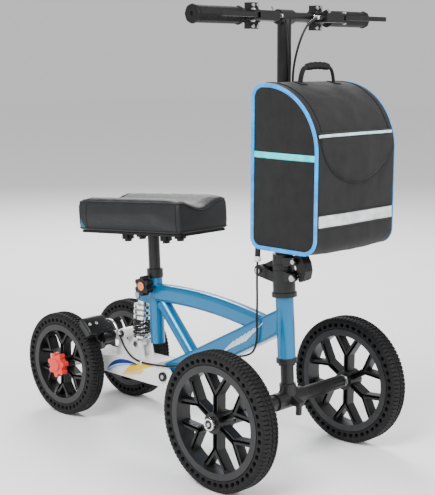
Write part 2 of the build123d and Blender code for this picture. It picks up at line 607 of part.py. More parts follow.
# ---------------------------------------------------------------- seat
def seat():
    """Seat post, clamp knob, mounting plate, board, cushion and screw knobs."""
    pitch = radians(PAD_PITCH)
    middle = (PAD_FRONT - PAD_LENGTH / 2, 0, PAD_MIDDLE_Z)
    pad_plane = Plane(origin=middle, x_dir=(cos(pitch), 0, sin(pitch)), z_dir=(-sin(pitch), 0, cos(pitch)))
    cushion = Box(PAD_LENGTH, PAD_WIDTH, PAD_THICKNESS)
    cushion = fillet(cushion.edges().filter_by(Axis.Z), 14)
    cushion = fillet(cushion.faces().sort_by(Axis.Z)[-1].edges(), 9)
    dip_radius = (PAD_DIP_HALF_WIDTH**2 + PAD_DIP**2) / (2 * PAD_DIP)
    dip = Pos(0, 0, PAD_THICKNESS / 2 - PAD_DIP + dip_radius) * Rot(0, 90, 0) * Cylinder(
        dip_radius, PAD_LENGTH + 20)
    save("knee_pad", pad_plane * (cushion - dip))

    board_top = -PAD_THICKNESS / 2
    plate_top = board_top - BOARD_THICKNESS
    plate_low = plate_top - PLATE_THICKNESS
    board = Box(PAD_LENGTH - 24, PAD_WIDTH - 24, BOARD_THICKNESS)
    board = Pos(0, 0, board_top - BOARD_THICKNESS / 2) * board
    metal = Pos(0, 0, plate_top - PLATE_THICKNESS / 2) * Box(*PLATE_SIZE, PLATE_THICKNESS)
    knobs = []
    for x, y in PAD_KNOBS:
        spot = Pos(x - middle[0], y, 0)
        hole = spot * Pos(0, 0, (plate_low + board_top) / 2) * Cylinder(3 + FIT, board_top - plate_low)
        board -= hole
        metal -= hole
        head = extrude(lobed(PAD_KNOB_RADIUS, 5, 6), PAD_KNOB_HEIGHT - 6)
        knob = Pos(0, 0, plate_low - PAD_KNOB_HEIGHT + 6) * head
        knob += Pos(0, 0, plate_low - PAD_KNOB_HEIGHT + 3) * Cylinder(9, 6)
        screw = Cylinder(3, board_top - plate_low, align=(Align.CENTER, Align.CENTER, Align.MIN))
        knobs.append(pad_plane * spot * (knob + Pos(0, 0, plate_low) * screw))
    post = ring(SEAT, seat_at(SEAT_POST_LOW), seat_at(PAD_MIDDLE_Z), SEAT_POST_RADIUS,
                SEAT_POST_RADIUS - 2.5)
    post -= pad_plane * Pos(0, 0, plate_low + 60) * Box(200, 200, 120)
    save("pad_board", pad_plane * board)
    save("pad_knobs", *knobs)
    save("seat_post", post + pad_plane * metal)

    knob_x, knob_z = seat_knob_centre()
    knob_plane = Plane(origin=(knob_x, -SEAT_KNOB_BACK, knob_z), z_dir=(0, -1, 0))
    depth = SEAT_KNOB_FACE - SEAT_KNOB_BACK
    knob = extrude(knob_plane * lobed(SEAT_KNOB_RADIUS, 6.5, 6), depth - 2)
    knob += across(knob_x, knob_z, -SEAT_POST_RADIUS - 1, -SEAT_KNOB_BACK, 4)
    save("seat_knob", knob + across(knob_x, knob_z, -SEAT_KNOB_FACE, -SEAT_KNOB_FACE + 3, 11))


# ---------------------------------------------------------------- swing arm, shock, brakes
def swing_arm():
    """Sprung rear arm with the axle, the shock and the two brakes."""
    axle = (-WHEELBASE, REAR_TYRE_RADIUS)
    inside = ARM_HALF_WIDTH - ARM_WALL
    slope = ARM_REAR + 70
    side = [(PIVOT[0], ARM_LOW), (PIVOT[0], ARM_HIGH + 4), (PIVOT[0] - 75, ARM_HIGH), (slope, ARM_HIGH),
            (ARM_REAR + 12, ARM_HIGH - 12), (axle[0], axle[1] + 18), (axle[0], axle[1] - 18),
            (ARM_REAR + 10, ARM_LOW)]
    arm_side = plate(side, inside, ARM_HALF_WIDTH)
    arm_side += across(*PIVOT, inside, ARM_HALF_WIDTH, 29) + across(*axle, inside, ARM_HALF_WIDTH, 20)
    arm = arm_side + mirror(arm_side, about=Plane.XZ)
    front, rear = PIVOT[0] - 35, ARM_REAR + 14
    top = [(front, ARM_HIGH - ARM_WALL), (slope, ARM_HIGH - ARM_WALL), (rear, ARM_HIGH - 12 - ARM_WALL),
           (rear, ARM_HIGH - 12), (slope, ARM_HIGH), (front, ARM_HIGH)]
    arm += plate(top, -inside, inside)
    arm += block(rear, rear + ARM_WALL, -inside, inside, ARM_LOW + 4, ARM_HIGH - 12)
    tower_inside = SHOCK_EYE_HALF + 1
    for sign in (-1, 1):
        tower = plate([(TOWER_FRONT, ARM_HIGH - 2), (TOWER_FRONT - 8, TOWER_HIGH - 6),
                       (TOWER_FRONT - 18, TOWER_HIGH), (SHOCK_FOOT[0] - 11, TOWER_HIGH),
                       (SHOCK_FOOT[0] - 30, TOWER_HIGH - 14), (BRAKE_PIN[0] + 9, BRAKE_PIN[1] - 8),
                       (BRAKE_PIN[0] - 9, BRAKE_PIN[1] - 8), (BRAKE_PIN[0] - 21, ARM_HIGH - 8)],
                      sign * tower_inside, sign * (tower_inside + 5))
        arm += tower
    arm += across(*BRAKE_PIN, -tower_inside - 6, tower_inside + 6, BRAKE_TUBE_RADIUS + 4)
    arm += across(*axle, -inside, inside, 13)
    arm -= across(*PIVOT, -60, 60, PIVOT_BOLT_RADIUS + FIT)
    arm -= across(*axle, -60, 60, AXLE_RADIUS)
    arm -= across(*SHOCK_FOOT, -40, 40, SHOCK_BOLT_RADIUS)
    arm -= across(*BRAKE_PIN, -40, 40, BRAKE_TUBE_RADIUS)
    save("swing_arm", arm)
    save("shock_foot_bolt", bolt_across(SHOCK_FOOT, tower_inside + 5))

    hub_inside = REAR_TRACK / 2 - REAR_HUB_LENGTH / 2
    hub_outside = REAR_TRACK / 2 + REAR_HUB_LENGTH / 2
    sleeve = across(*axle, ARM_HALF_WIDTH, hub_inside - FACE_GAP, 13, AXLE_RADIUS)
    axle_rod = across(*axle, -hub_outside - 20, hub_outside + 20, AXLE_RADIUS)
    save("rear_axle", axle_rod, *both(sleeve))
    knobs = []
    for sign in SIDES.values():
        face = Plane(origin=(axle[0], sign * (hub_outside + FACE_GAP + 4), axle[1]), z_dir=(0, sign, 0))
        knob = extrude(face * lobed(32, 7, 7), 17) + extrude(face.offset(17) * Circle(15), 4)
        knob += extrude(face.offset(-4) * Circle(11), 4)
        knob -= across(*axle, -hub_outside - 20, hub_outside + 20, AXLE_RADIUS + FIT)
        knobs.append(knob)
    save("rear_knobs", *knobs)


def shock():
    """Shock absorber: body, rod, coil spring and preload collars."""
    foot, top = Vector(SHOCK_FOOT[0], 0, SHOCK_FOOT[1]), Vector(SHOCK_TOP[0], 0, SHOCK_TOP[1])
    length = (top - foot).length
    line = Plane(origin=foot, x_dir=(top.Z - foot.Z, 0, foot.X - top.X), z_dir=top - foot)
    body = ring(line, length - COLLARS[0], length - 6, 13)
    for collar in COLLARS:
        body += ring(line, length - collar, length - collar + 8, SPRING_RADIUS - 1)
    body += across(*SHOCK_TOP, -SHOCK_EYE_HALF, SHOCK_EYE_HALF, 11)
    body -= across(*SHOCK_TOP, -SHOCK_EYE_HALF, SHOCK_EYE_HALF, SHOCK_BOLT_RADIUS + FIT)
    body -= ring(line, length - COLLARS[0], length - 22, 6 + FIT)
    save("shock_body", body)
    rod_piece = ring(line, 4, length - 42, 6)
    rod_piece += ring(line, *SPRING_SEAT, SPRING_RADIUS)
    rod_piece += across(*SHOCK_FOOT, -SHOCK_EYE_HALF, SHOCK_EYE_HALF, 10)
    rod_piece -= across(*SHOCK_FOOT, -SHOCK_EYE_HALF, SHOCK_EYE_HALF,
                        SHOCK_BOLT_RADIUS + SHOCK_FOOT_CLEARANCE)
    save("shock_rod", rod_piece)
    low, high = SPRING_SEAT[1] + SPRING_WIRE + 0.2, length - COLLARS[0] - SPRING_WIRE - 0.2
    path = Helix(pitch=(high - low) / SPRING_TURNS, height=high - low, radius=SPRING_RADIUS - SPRING_WIRE)
    coil = sweep(Plane(origin=path @ 0, z_dir=path % 0) * Circle(SPRING_WIRE), path=path, is_frenet=True)
    save("shock_spring", line * Pos(0, 0, low) * coil)


def brakes():
    """Brake cross tube and, above the front of each rear tyre, an arm with its shoe."""
    tube_end = REAR_TRACK / 2 - REAR_TYRE_WIDTH / 2 - 3
    axle = Vector(-WHEELBASE, REAR_TYRE_RADIUS)
    inner, outer = REAR_TYRE_RADIUS + BRAKE_SHOE_GAP, REAR_TYRE_RADIUS + BRAKE_SHOE_GAP + 20
    first, last = BRAKE_SHOE_ANGLES
    wedge = Polygon(*[(axle.X + r * cos(radians(a)), axle.Y + r * sin(radians(a)))
                      for r, a in ((inner, first), (outer + 3, first), (outer + 3, last), (inner, last))],
                    align=None)
    wedge -= Pos(axle.X, axle.Y) * Circle(inner)
    hub_low, hub_high = tube_end - 26, tube_end - 2
    shoe_high = REAR_TRACK / 2 + REAR_TYRE_WIDTH / 2 - 4
    middle = radians((first + last) / 2)
    reach = (axle.X + (outer - 8) * cos(middle), axle.Y + (outer - 8) * sin(middle))
    arm = plate(link(BRAKE_PIN, reach, BRAKE_TUBE_RADIUS + 6, 9), hub_low, hub_high)
    arm += plate(wedge, hub_low, shoe_high)
    arm -= across(axle.X, axle.Y, 0, 200, inner)
    arm -= across(*BRAKE_PIN, 0, 200, BRAKE_TUBE_RADIUS + FIT)
    for side, shape in zip(SIDES, both(arm)):
        save(f"{side}_brake_arm", shape)
    post = plate(link(BRAKE_PIN, NOODLE_SEAT, BRAKE_TUBE_RADIUS + 5, 8), -51, -59)
    post -= block(NOODLE_SEAT[0] - 20, NOODLE_SEAT[0] + 30, -70, -40,
                  NOODLE_SEAT[1] - 4, NOODLE_SEAT[1] + 40)
    save("brake_tube", across(*BRAKE_PIN, -tube_end, tube_end, BRAKE_TUBE_RADIUS) + post)


# ---------------------------------------------------------------- bag
def bag_outline(inset=0):
    """Side view of the bag: rounded box with a large arc at the front of its top."""
    face = Pos(BAG_DEPTH / 2, (BAG_LOW + BAG_HIGH) / 2) * Rectangle(BAG_DEPTH, BAG_HIGH - BAG_LOW)
    corners = face.vertices()
    radii = {(True, True): BAG_FRONT_ARC, (False, True): 30, (True, False): 35, (False, False): 25}
    for (front, upper), radius in radii.items():
        corner = [v for v in corners if (v.X > BAG_DEPTH / 2) == front and (v.Y > BAG_LOW + 100) == upper]
        here = min(face.vertices(), key=lambda v: (Vector(v) - Vector(corner[0])).length)
        face = fillet(here, radius)
    return offset(face, -inset) if inset else face


def bag():
    """Zipped bag shell, its carry handle and the straps round the mast."""
    shell = plate(bag_outline(), -BAG_HALF_WIDTH, BAG_HALF_WIDTH)
    shell -= plate(bag_outline(BAG_WALL), -BAG_HALF_WIDTH + BAG_WALL, BAG_HALF_WIDTH - BAG_WALL)
    save("bag_shell", shell)

    half, top = HANDLE_HALF_WIDTH, HANDLE_HIGH - 6
    foot = bag_top_at(HANDLE_X)
    route = FilletPolyline((HANDLE_X, -half, foot), (HANDLE_X, -half + 8, top), (HANDLE_X, half - 8, top),
                           (HANDLE_X, half, foot), radius=12)
    loop = sweep(Plane(origin=route @ 0, z_dir=route % 0) * Circle(5), path=route)
    loop += across(HANDLE_X, top, -half + 24, half - 24, 7)
    save("bag_handle", loop - plate(bag_outline(), -BAG_HALF_WIDTH, BAG_HALF_WIDTH))

    straps = []
    for z in (565, 700):
        centre = MAST_FOOT[0] - (z - MAST_FOOT[1]) * tan(radians(MAST_LEAN))
        strap = block(centre - MAST_RADIUS - 4, 0, -MAST_RADIUS - 4, MAST_RADIUS + 4, z - 15, z + 15)
        straps.append(strap - ring(MAST, 0, mast_at(MAST_HIGH), MAST_RADIUS + FIT))
    save("bag_straps", *straps)


def bag_top_at(x):
    """Height of the bag's top surface at x."""
    centre_x, centre_z = BAG_DEPTH - BAG_FRONT_ARC, BAG_HIGH - BAG_FRONT_ARC
    return centre_z + (BAG_FRONT_ARC**2 - (x - centre_x) ** 2) ** 0.5 - 4


# ---------------------------------------------------------------- cables
RIGHT_CABLE = [(17.5, -60.4, 1000), (6, -41, 1004), (-4, -21, 990), (-5, -8, 960), (-3, -5, 915),
               (-5.5, -4, 868), (-4, -8, 822), (-14, -24, 785), (-30, -32, 745), (-42, -36, 700),
               (-50, -36.9, 650)]
LEFT_CABLE = [(17.5, 60.4, 1000), (17, 39, 994), (13, 18, 970), (5, 7, 930), (-3, 4, 887), (-4, 5, 845),
              (-4, -1, 805), (-13, -20, 765), (-29, -27, 728), (-42, -30, 690), (-50, -31.7, 650)]
SLEEVE = [(-50, -34.3, 649.5), (-56, -35, 600), (-61, -36, 550), (-64, -36, 500), (-65, -36, 464)]
HANGING_CABLE = [(-65, -36, 463.5), (-67, -35, 420), (-66, -34, 375), (-69, -32, 330), (-68, -30.5, 290),
                 (-76, -30, 256), (-98, -30, 240), (-122, -30, 233.7)]
BEAM_CABLE = [(-122.4, -30, 233.6), (-160, -29, 224), (-215, -29, 203), (-270, -30, 185.5),
              (-320, -36, 174), (-352, -41, 167)]
REAR_CABLE = [(-352.5, -41, 166.9), (-400, -41, 161), (-445, -41, 158.5), (-480, -42, 165),
              (-503, -45, 185), (-512, -50, 210), (-519, -55, 231)]
NOODLE = [(-520.3, -55.4, 232.8), (-529, -55, 247), (-545, -55, 254), (-563, -55, 252)]


def cables():
    """Brake cables from the levers to the rear brakes, cut where one body meets the next."""
    save("upper_cables", cable(RIGHT_CABLE, CABLE_RADIUS), cable(LEFT_CABLE, CABLE_RADIUS))
    save("cable_sleeve", cable(SLEEVE, SLEEVE_RADIUS))
    save("hanging_cable", cable(HANGING_CABLE, CABLE_RADIUS))
    save("beam_cable", cable(BEAM_CABLE, CABLE_RADIUS))
    save("rear_cable", cable(REAR_CABLE, CABLE_RADIUS), cable(NOODLE, CABLE_RADIUS + 1))


os.makedirs("parts", exist_ok=True)
wheels()
frame()
steering()
mast()
latch()
handlebar()
seat()
swing_arm()
shock()
brakes()
bag()
cables()
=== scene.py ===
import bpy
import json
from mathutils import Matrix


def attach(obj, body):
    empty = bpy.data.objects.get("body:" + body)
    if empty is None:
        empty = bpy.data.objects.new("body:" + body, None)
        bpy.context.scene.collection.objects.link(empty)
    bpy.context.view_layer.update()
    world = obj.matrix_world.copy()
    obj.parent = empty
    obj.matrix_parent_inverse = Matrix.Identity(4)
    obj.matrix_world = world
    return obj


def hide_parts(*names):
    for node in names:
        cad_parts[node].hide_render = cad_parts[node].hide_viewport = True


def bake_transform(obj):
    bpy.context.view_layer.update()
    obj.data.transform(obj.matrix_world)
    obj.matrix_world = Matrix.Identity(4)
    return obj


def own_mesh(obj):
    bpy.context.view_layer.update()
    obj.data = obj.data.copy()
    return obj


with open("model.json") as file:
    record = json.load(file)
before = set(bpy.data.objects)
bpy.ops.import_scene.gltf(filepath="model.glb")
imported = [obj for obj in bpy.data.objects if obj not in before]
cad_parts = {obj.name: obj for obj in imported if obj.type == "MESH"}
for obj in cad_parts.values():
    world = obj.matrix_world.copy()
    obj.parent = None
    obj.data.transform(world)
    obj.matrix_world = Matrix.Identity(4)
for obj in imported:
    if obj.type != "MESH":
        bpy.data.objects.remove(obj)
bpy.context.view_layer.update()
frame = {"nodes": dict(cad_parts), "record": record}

import bmesh
import bpy
import json
import math
from mathutils import Matrix, Vector, noise
from mathutils.bvhtree import BVHTree

NODES = frame["nodes"]
RECORD_X = 0.304                # the front axle, in metres ahead of the record's origin
REAR_AXLE_X = -656              # mm from the front axle
BAR_Z = 1000                    # height of the handlebar
FRONT_RADIUS, REAR_RADIUS = 152.4, 132
RIGHT_LEFT = ((-1, "right"), (1, "left"))
ON_BAG = ("mast", "bag_fabric")             # body and slot of the pieces on the bag,
ON_PAD = ("seat", "vinyl")                  # the pad,
ON_ARM = ("swing_arm", "white_paint")       # and the swing arm


def at(x, y, z):
    """Millimetres from the front axle and the ground, as a point in the record's frame."""
    return Vector((x / 1000 + RECORD_X, y / 1000, z / 1000))


def mast_x(z):
    """Where the leaning mast's centre line is at a height."""
    return -20.8 - (z - 455) * math.tan(math.radians(0.57))


# ---------------------------------------------------------------- camera, light and floor
def make_stage():
    """Pale floor and backdrop, soft lights and the camera."""
    azimuth, elevation, roll = math.radians(42.734), math.radians(9.754), math.radians(0.4294)
    back = Vector((math.sin(azimuth) * math.cos(elevation), -math.cos(azimuth) * math.cos(elevation),
                   math.sin(elevation)))
    right = Vector((0, 0, 1)).cross(back).normalized()
    up = back.cross(right)
    turned_right = math.cos(roll) * right + math.sin(roll) * up
    turned_up = -math.sin(roll) * right + math.cos(roll) * up
    camera = bpy.data.objects.new("camera", bpy.data.cameras.new("camera"))
    bpy.context.scene.collection.objects.link(camera)
    columns = Matrix((turned_right, turned_up, back)).transposed()
    camera.matrix_world = Matrix.Translation(at(1632.7, -1919.5, 931.4)) @ columns.to_4x4()
    camera.data.lens = 84.0
    camera.data.shift_x = -0.0526
    bpy.context.scene.camera = camera

    floor_mesh = bpy.data.meshes.new("floor")
    shape = bmesh.new()
    bmesh.ops.create_grid(shape, x_segments=1, y_segments=1, size=14)
    shape.to_mesh(floor_mesh)
    shape.free()
    floor = bpy.data.objects.new("floor", floor_mesh)
    bpy.context.scene.collection.objects.link(floor)
    paper = bpy.data.materials.new("floor_paper")
    paper.use_nodes = True
    sockets = paper.node_tree.nodes["Principled BSDF"].inputs
    sockets["Base Color"].default_value = (0.97, 0.97, 0.97, 1)
    sockets["Roughness"].default_value = 0.9
    floor_mesh.materials.append(paper)

    world = bpy.data.worlds.new("studio")
    world.use_nodes = True
    sockets = world.node_tree.nodes["Background"].inputs
    sockets["Color"].default_value = (1, 1, 1, 1)
    sockets["Strength"].default_value = 0.7
    bpy.context.scene.world = world
    for name, place, size, power in (
            ("key", (1.0, -3.0, 3.2), 1.6, 210), ("fill", (3.4, 0.8, 2.2), 2.0, 100),
            ("rim", (-2.6, 2.0, 2.8), 1.6, 150)):
        light = bpy.data.lights.new(name, "AREA")
        light.size = size
        light.energy = power
        lamp = bpy.data.objects.new(name, light)
        lamp.location = place
        lamp.rotation_euler = (Vector((0, 0, 0.45)) - lamp.location).to_track_quat("-Z", "Y").to_euler()
        bpy.context.scene.collection.objects.link(lamp)


# ---------------------------------------------------------------- materials
class Shader:
    """A material under construction: a Principled shader and the nodes that feed it."""

    def __init__(self, name):
        self.material = bpy.data.materials.new(name)
        self.material.use_nodes = True
        self.tree = self.material.node_tree
        self.bsdf = self.tree.nodes["Principled BSDF"]
        self.place = self.node("ShaderNodeTexCoord").outputs["Object"]

    def node(self, kind, **inputs):
        node = self.tree.nodes.new(kind)
        for name, value in inputs.items():
            socket = node.inputs[name.replace("_", " ")]
            if isinstance(value, bpy.types.NodeSocket):
                self.tree.links.new(value, socket)
            else:
                socket.default_value = value
        return node

    def link(self, output, name):
        self.tree.links.new(output, self.bsdf.inputs[name])

    def set(self, **values):
        for name, value in values.items():
            self.bsdf.inputs[name.replace("_", " ")].default_value = value

    def noise(self, scale, detail=4.0, roughness=0.6):
        return self.node("ShaderNodeTexNoise", Vector=self.place, Scale=scale, Detail=detail,
                         Roughness=roughness).outputs["Fac"]

    def cells(self, scale, feature="F1"):
        node = self.node("ShaderNodeTexVoronoi", Vector=self.place, Scale=scale)
        node.feature = feature
        return node.outputs["Distance"]

    def math(self, operation, first, second=0.5):
        node = self.tree.nodes.new("ShaderNodeMath")
        node.operation = operation
        for socket, value in zip(node.inputs, (first, second)):
            if isinstance(value, bpy.types.NodeSocket):
                self.tree.links.new(value, socket)
            else:
                socket.default_value = value
        return node.outputs[0]

    def mix(self, first, second, factor, blend="MIX"):
        """Two colours mixed; second and factor are sockets or values."""
        node = self.tree.nodes.new("ShaderNodeMix")
        node.data_type = "RGBA"
        node.blend_type = blend
        for name, value in (("Factor", factor), ("A", first), ("B", second)):
            if isinstance(value, bpy.types.NodeSocket):
                self.tree.links.new(value, node.inputs[name])
            else:
                node.inputs[name].default_value = value
        return node.outputs["Result"]

    def ramp(self, value, low, high, low_colour, high_colour):
        node = self.tree.nodes.new("ShaderNodeValToRGB")
        self.tree.links.new(value, node.inputs[0])
        node.color_ramp.elements[0].position = low
        node.color_ramp.elements[1].position = high
        node.color_ramp.elements[0].color = (*low_colour, 1)
        node.color_ramp.elements[1].color = (*high_colour, 1)
        return node.outputs["Color"]

    def spread(self, value, low, high):
        """The value, taken from 0..1 to low..high."""
        node = self.node("ShaderNodeMapRange", Value=value)
        node.inputs["To Min"].default_value = low
        node.inputs["To Max"].default_value = high
        return node.outputs["Result"]

    def bump(self, height, distance, strength=1.0, edge=0.0):
        """Surface relief of the given depth in metres, over edges softened by edge metres."""
        node = self.node("ShaderNodeBump", Height=height, Distance=distance, Strength=strength)
        if edge:
            soft = self.node("ShaderNodeBevel", Radius=edge)
            soft.samples = 4
            self.tree.links.new(soft.outputs["Normal"], node.inputs["Normal"])
        self.link(node.outputs["Normal"], "Normal")


def shade(colour, factor):
    """The colour made lighter or darker."""
    return tuple(min(1.0, channel * factor) for channel in colour)


def paint(name, colour, metallic=0.0, roughness=0.3, coat=0.6, flake=0.0, edge=0.0008):
    """Sprayed paint: slight orange peel, faint colour drift, flakes if metallic."""
    shader = Shader(name)
    drift = shader.noise(14, 3)
    base = shader.ramp(drift, 0.3, 0.7, shade(colour, 0.86), shade(colour, 1.1))
    if flake:
        spots = shader.cells(2600)
        bright = shader.ramp(spots, 0.0, 0.5, shade(colour, 1 + flake), colour)
        base = shader.mix(base, bright, 0.5)
    shader.link(base, "Base Color")
    shader.set(Metallic=metallic, Coat_Weight=coat, Coat_Roughness=0.06, Specular_IOR_Level=0.35)
    shader.link(shader.spread(shader.noise(60), roughness - 0.05, roughness + 0.08), "Roughness")
    shader.bump(shader.noise(420, 2), 0.00006, 0.5, edge)
    return shader.material


def plastic(name, colour, roughness=0.45, grain=900, depth=0.00008, edge=0.0006):
    """Moulded plastic with a fine spark-eroded grain."""
    shader = Shader(name)
    shader.link(shader.ramp(shader.noise(30), 0.25, 0.75, shade(colour, 0.8), shade(colour, 1.25)),
                "Base Color")
    shader.link(shader.spread(shader.noise(180), roughness - 0.08, roughness + 0.1), "Roughness")
    shader.set(Specular_IOR_Level=0.34)
    shader.bump(shader.cells(grain), depth, 0.6, edge)
    return shader.material


def metal(name, colour, roughness=0.28, scratch=0.12, edge=0.0005):
    """Bare or plated metal with fine scratches and handling marks."""
    shader = Shader(name)
    shader.link(shader.ramp(shader.noise(25), 0.3, 0.8, shade(colour, 0.82), shade(colour, 1.05)),
                "Base Color")
    shader.set(Metallic=1.0)
    stretched = shader.node("ShaderNodeMapping", Vector=shader.place, Scale=(1800, 1800, 90))
    lines = shader.node("ShaderNodeTexNoise", Vector=stretched.outputs[0], Scale=1.0, Detail=3.0)
    shader.link(shader.spread(lines.outputs["Fac"], roughness - scratch, roughness + scratch), "Roughness")
    shader.bump(lines.outputs["Fac"], 0.00002, 0.4, edge)
    return shader.material


def rubber(name, colour, roughness=0.7, grain=500):
    """Moulded rubber with a dusty, uneven surface."""
    shader = Shader(name)
    shader.link(shader.ramp(shader.noise(45, 6), 0.3, 0.75, shade(colour, 0.75), shade(colour, 1.5)),
                "Base Color")
    shader.link(shader.spread(shader.noise(160), roughness - 0.1, roughness + 0.12), "Roughness")
    shader.set(Specular_IOR_Level=0.26)
    shader.bump(shader.noise(grain, 5), 0.00015, 0.5)
    return shader.material


def woven(name, colour, roughness, pitch=900):
    """Plain-weave fabric: crossed threads, a little fuzz and uneven dye."""
    shader = Shader(name)
    tone = shader.ramp(shader.noise(38, 6), 0.3, 0.72, shade(colour, 0.72), shade(colour, 1.35))
    shader.link(tone, "Base Color")
    shader.set(Sheen_Weight=0.08, Sheen_Roughness=0.5, Specular_IOR_Level=0.3)
    shader.link(shader.spread(shader.noise(240), roughness - 0.08, roughness + 0.06), "Roughness")
    parts = shader.node("ShaderNodeSeparateXYZ", Vector=shader.place).outputs
    height = shader.math("SINE", shader.math("MULTIPLY", shader.math("ADD", parts[0], parts[1]), pitch * 4))
    cross = shader.math("SINE", shader.math("MULTIPLY", parts[2], pitch * 4))
    threads = shader.math("MULTIPLY", height, cross)
    shader.bump(shader.math("ADD", threads, shader.noise(700, 3)), 0.00016, 0.5)
    return shader.material


def leather(name, colour, accent=True):
    """Grained vinyl with patchy roughness; the cushion's rear corner is teal."""
    shader = Shader(name)
    tone = shader.ramp(shader.noise(20, 5), 0.3, 0.75, shade(colour, 0.8), shade(colour, 1.25))
    if accent:
        parts = shader.node("ShaderNodeSeparateXYZ", Vector=shader.place).outputs
        slope = shader.math("ADD", shader.math("MULTIPLY", parts[0], 1.35), parts[2])
        edge = shader.math("LESS_THAN", slope, 1.35 * (-0.612 + RECORD_X) + 0.494)
        side = shader.math("GREATER_THAN", shader.math("ABSOLUTE", parts[1]), 0.078)
        tone = shader.mix(tone, (0.02, 0.12, 0.17, 1), shader.math("MULTIPLY", edge, side))
    shader.link(tone, "Base Color")
    shader.set(Specular_IOR_Level=0.32)
    shader.link(shader.spread(shader.noise(90), 0.5, 0.66), "Roughness")
    grain = shader.math("ADD", shader.cells(620), shader.math("MULTIPLY", shader.noise(1500, 2), 0.5))
    shader.bump(grain, 0.00018, 0.6)
    return shader.material


def wheel_plastic(name, axle_x, axle_z, flange):
    """Moulded wheel plastic, greyer on the flange outside the spokes."""
    shader = Shader(name)
    parts = shader.node("ShaderNodeSeparateXYZ", Vector=shader.place).outputs
    centre = at(axle_x, 0, axle_z)
    across = shader.math("SUBTRACT", parts[0], centre.x)
    above = shader.math("SUBTRACT", parts[2], centre.z)
    squares = shader.math("ADD", shader.math("POWER", across, 2.0), shader.math("POWER", above, 2.0))
    radius = shader.math("SQRT", squares)
    tone = shader.ramp(radius, flange / 1000 - 0.002, flange / 1000, (0.0035, 0.0035, 0.004),
                       (0.016, 0.016, 0.0175))
    speckle = shader.ramp(shader.noise(60, 5), 0.3, 0.8, (0.85, 0.85, 0.85), (1.3, 1.3, 1.3))
    shader.link(shader.mix(tone, speckle, 1.0, "MULTIPLY"), "Base Color")
    shader.link(shader.spread(shader.noise(140), 0.3, 0.48), "Roughness")
    shader.set(Specular_IOR_Level=0.34)
    shader.bump(shader.cells(900), 0.00007, 0.5, 0.0007)
    return shader.material


MATERIALS = {
    "blue_paint": paint("blue_paint", (0.001, 0.142, 0.315), 0.3, 0.3, 0.4, 0.35),
    "white_paint": paint("white_paint", (0.8, 0.8, 0.79), 0.0, 0.35, 0.5),
    "black_metal": paint("black_metal", (0.004, 0.004, 0.0045), 0.0, 0.38, 0.12),
    "steel": metal("steel", (0.55, 0.55, 0.56), 0.35),
    "chrome": metal("chrome", (0.8, 0.8, 0.82), 0.16, 0.06),
    "black_plastic": plastic("black_plastic", (0.004, 0.004, 0.0045), 0.42),
    "rim_plastic": plastic("rim_plastic", (0.004, 0.004, 0.0045), 0.4),
    "red_plastic": plastic("red_plastic", (0.72, 0.045, 0.03), 0.3, 700, 0.00004, 0.0012),
    "tyre": rubber("tyre", (0.0065, 0.0065, 0.007)),
    "grip_rubber": rubber("grip_rubber", (0.004, 0.004, 0.004), 0.55, 1400),
    "cable_rubber": plastic("cable_rubber", (0.003, 0.003, 0.003), 0.4),
    "vinyl": plastic("vinyl", (0.035, 0.035, 0.038), 0.42, 1500, 0.0001),
    "bag_fabric": rubber("bag_fabric", (0.014, 0.014, 0.015), 0.85),
    "board": plastic("board", (0.006, 0.0055, 0.005), 0.75),
}


# ---------------------------------------------------------------- pieces in mesh code
def finish_piece(thing, material, body, replaced=()):
    """Put a piece in the scene, give it its material and say what it rides on; no body if it blends."""
    bpy.context.scene.collection.objects.link(thing)
    thing.data.materials.append(material)
    if body:
        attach(thing, body)
    if replaced:
        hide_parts(*replaced)
    return thing


def mesh_piece(name, points, faces, material, body, slot, replaced=(), smooth=True, thick=0.0):
    mesh = bpy.data.meshes.new(name)
    mesh.from_pydata([tuple(point) for point in points], [], faces)
    mesh.validate()
    shape = bmesh.new()
    shape.from_mesh(mesh)
    bmesh.ops.recalc_face_normals(shape, faces=shape.faces)
    shape.to_mesh(mesh)
    shape.free()
    for polygon in mesh.polygons:
        polygon.use_smooth = smooth
    piece = finish_piece(bpy.data.objects.new(name, mesh), material, body, replaced)
    if thick:
        solid = piece.modifiers.new("thick", "SOLIDIFY")
        solid.thickness = thick
        solid.offset = 0
    return piece


def grid_faces(rows, columns, around=False, closed=False):
    """Quads of a grid of rows x columns points; around joins the last column, closed the last row."""
    faces = []
    for row in range(rows if closed else rows - 1):
        for column in range(columns if around else columns - 1):
            right = (column + 1) % columns
            low, high = row * columns, (row + 1) % rows * columns
            faces.append((low + column, low + right, high + right, high + column))
    return faces


def end_faces(rows, columns):
    """The two faces that close the first and last row of a grid of rows x columns points."""
    return [tuple(range(columns)), tuple(range((rows - 1) * columns, rows * columns))]


def smooth_path(points, steps=8):
    """An open curve through the points, for handles."""
    count = len(points)
    path = []
    for index in range(count - 1):
        a, b, c, d = (points[min(max(index + k, 0), count - 1)] for k in (-1, 0, 1, 2))
        for step in range(steps):
            t = step / steps
            path.append(0.5 * (2 * b + (c - a) * t + (2 * a - 5 * b + 4 * c - d) * t ** 2
                               + (3 * b - a - 3 * c + d) * t ** 3))
    path.append(points[-1])
    return path


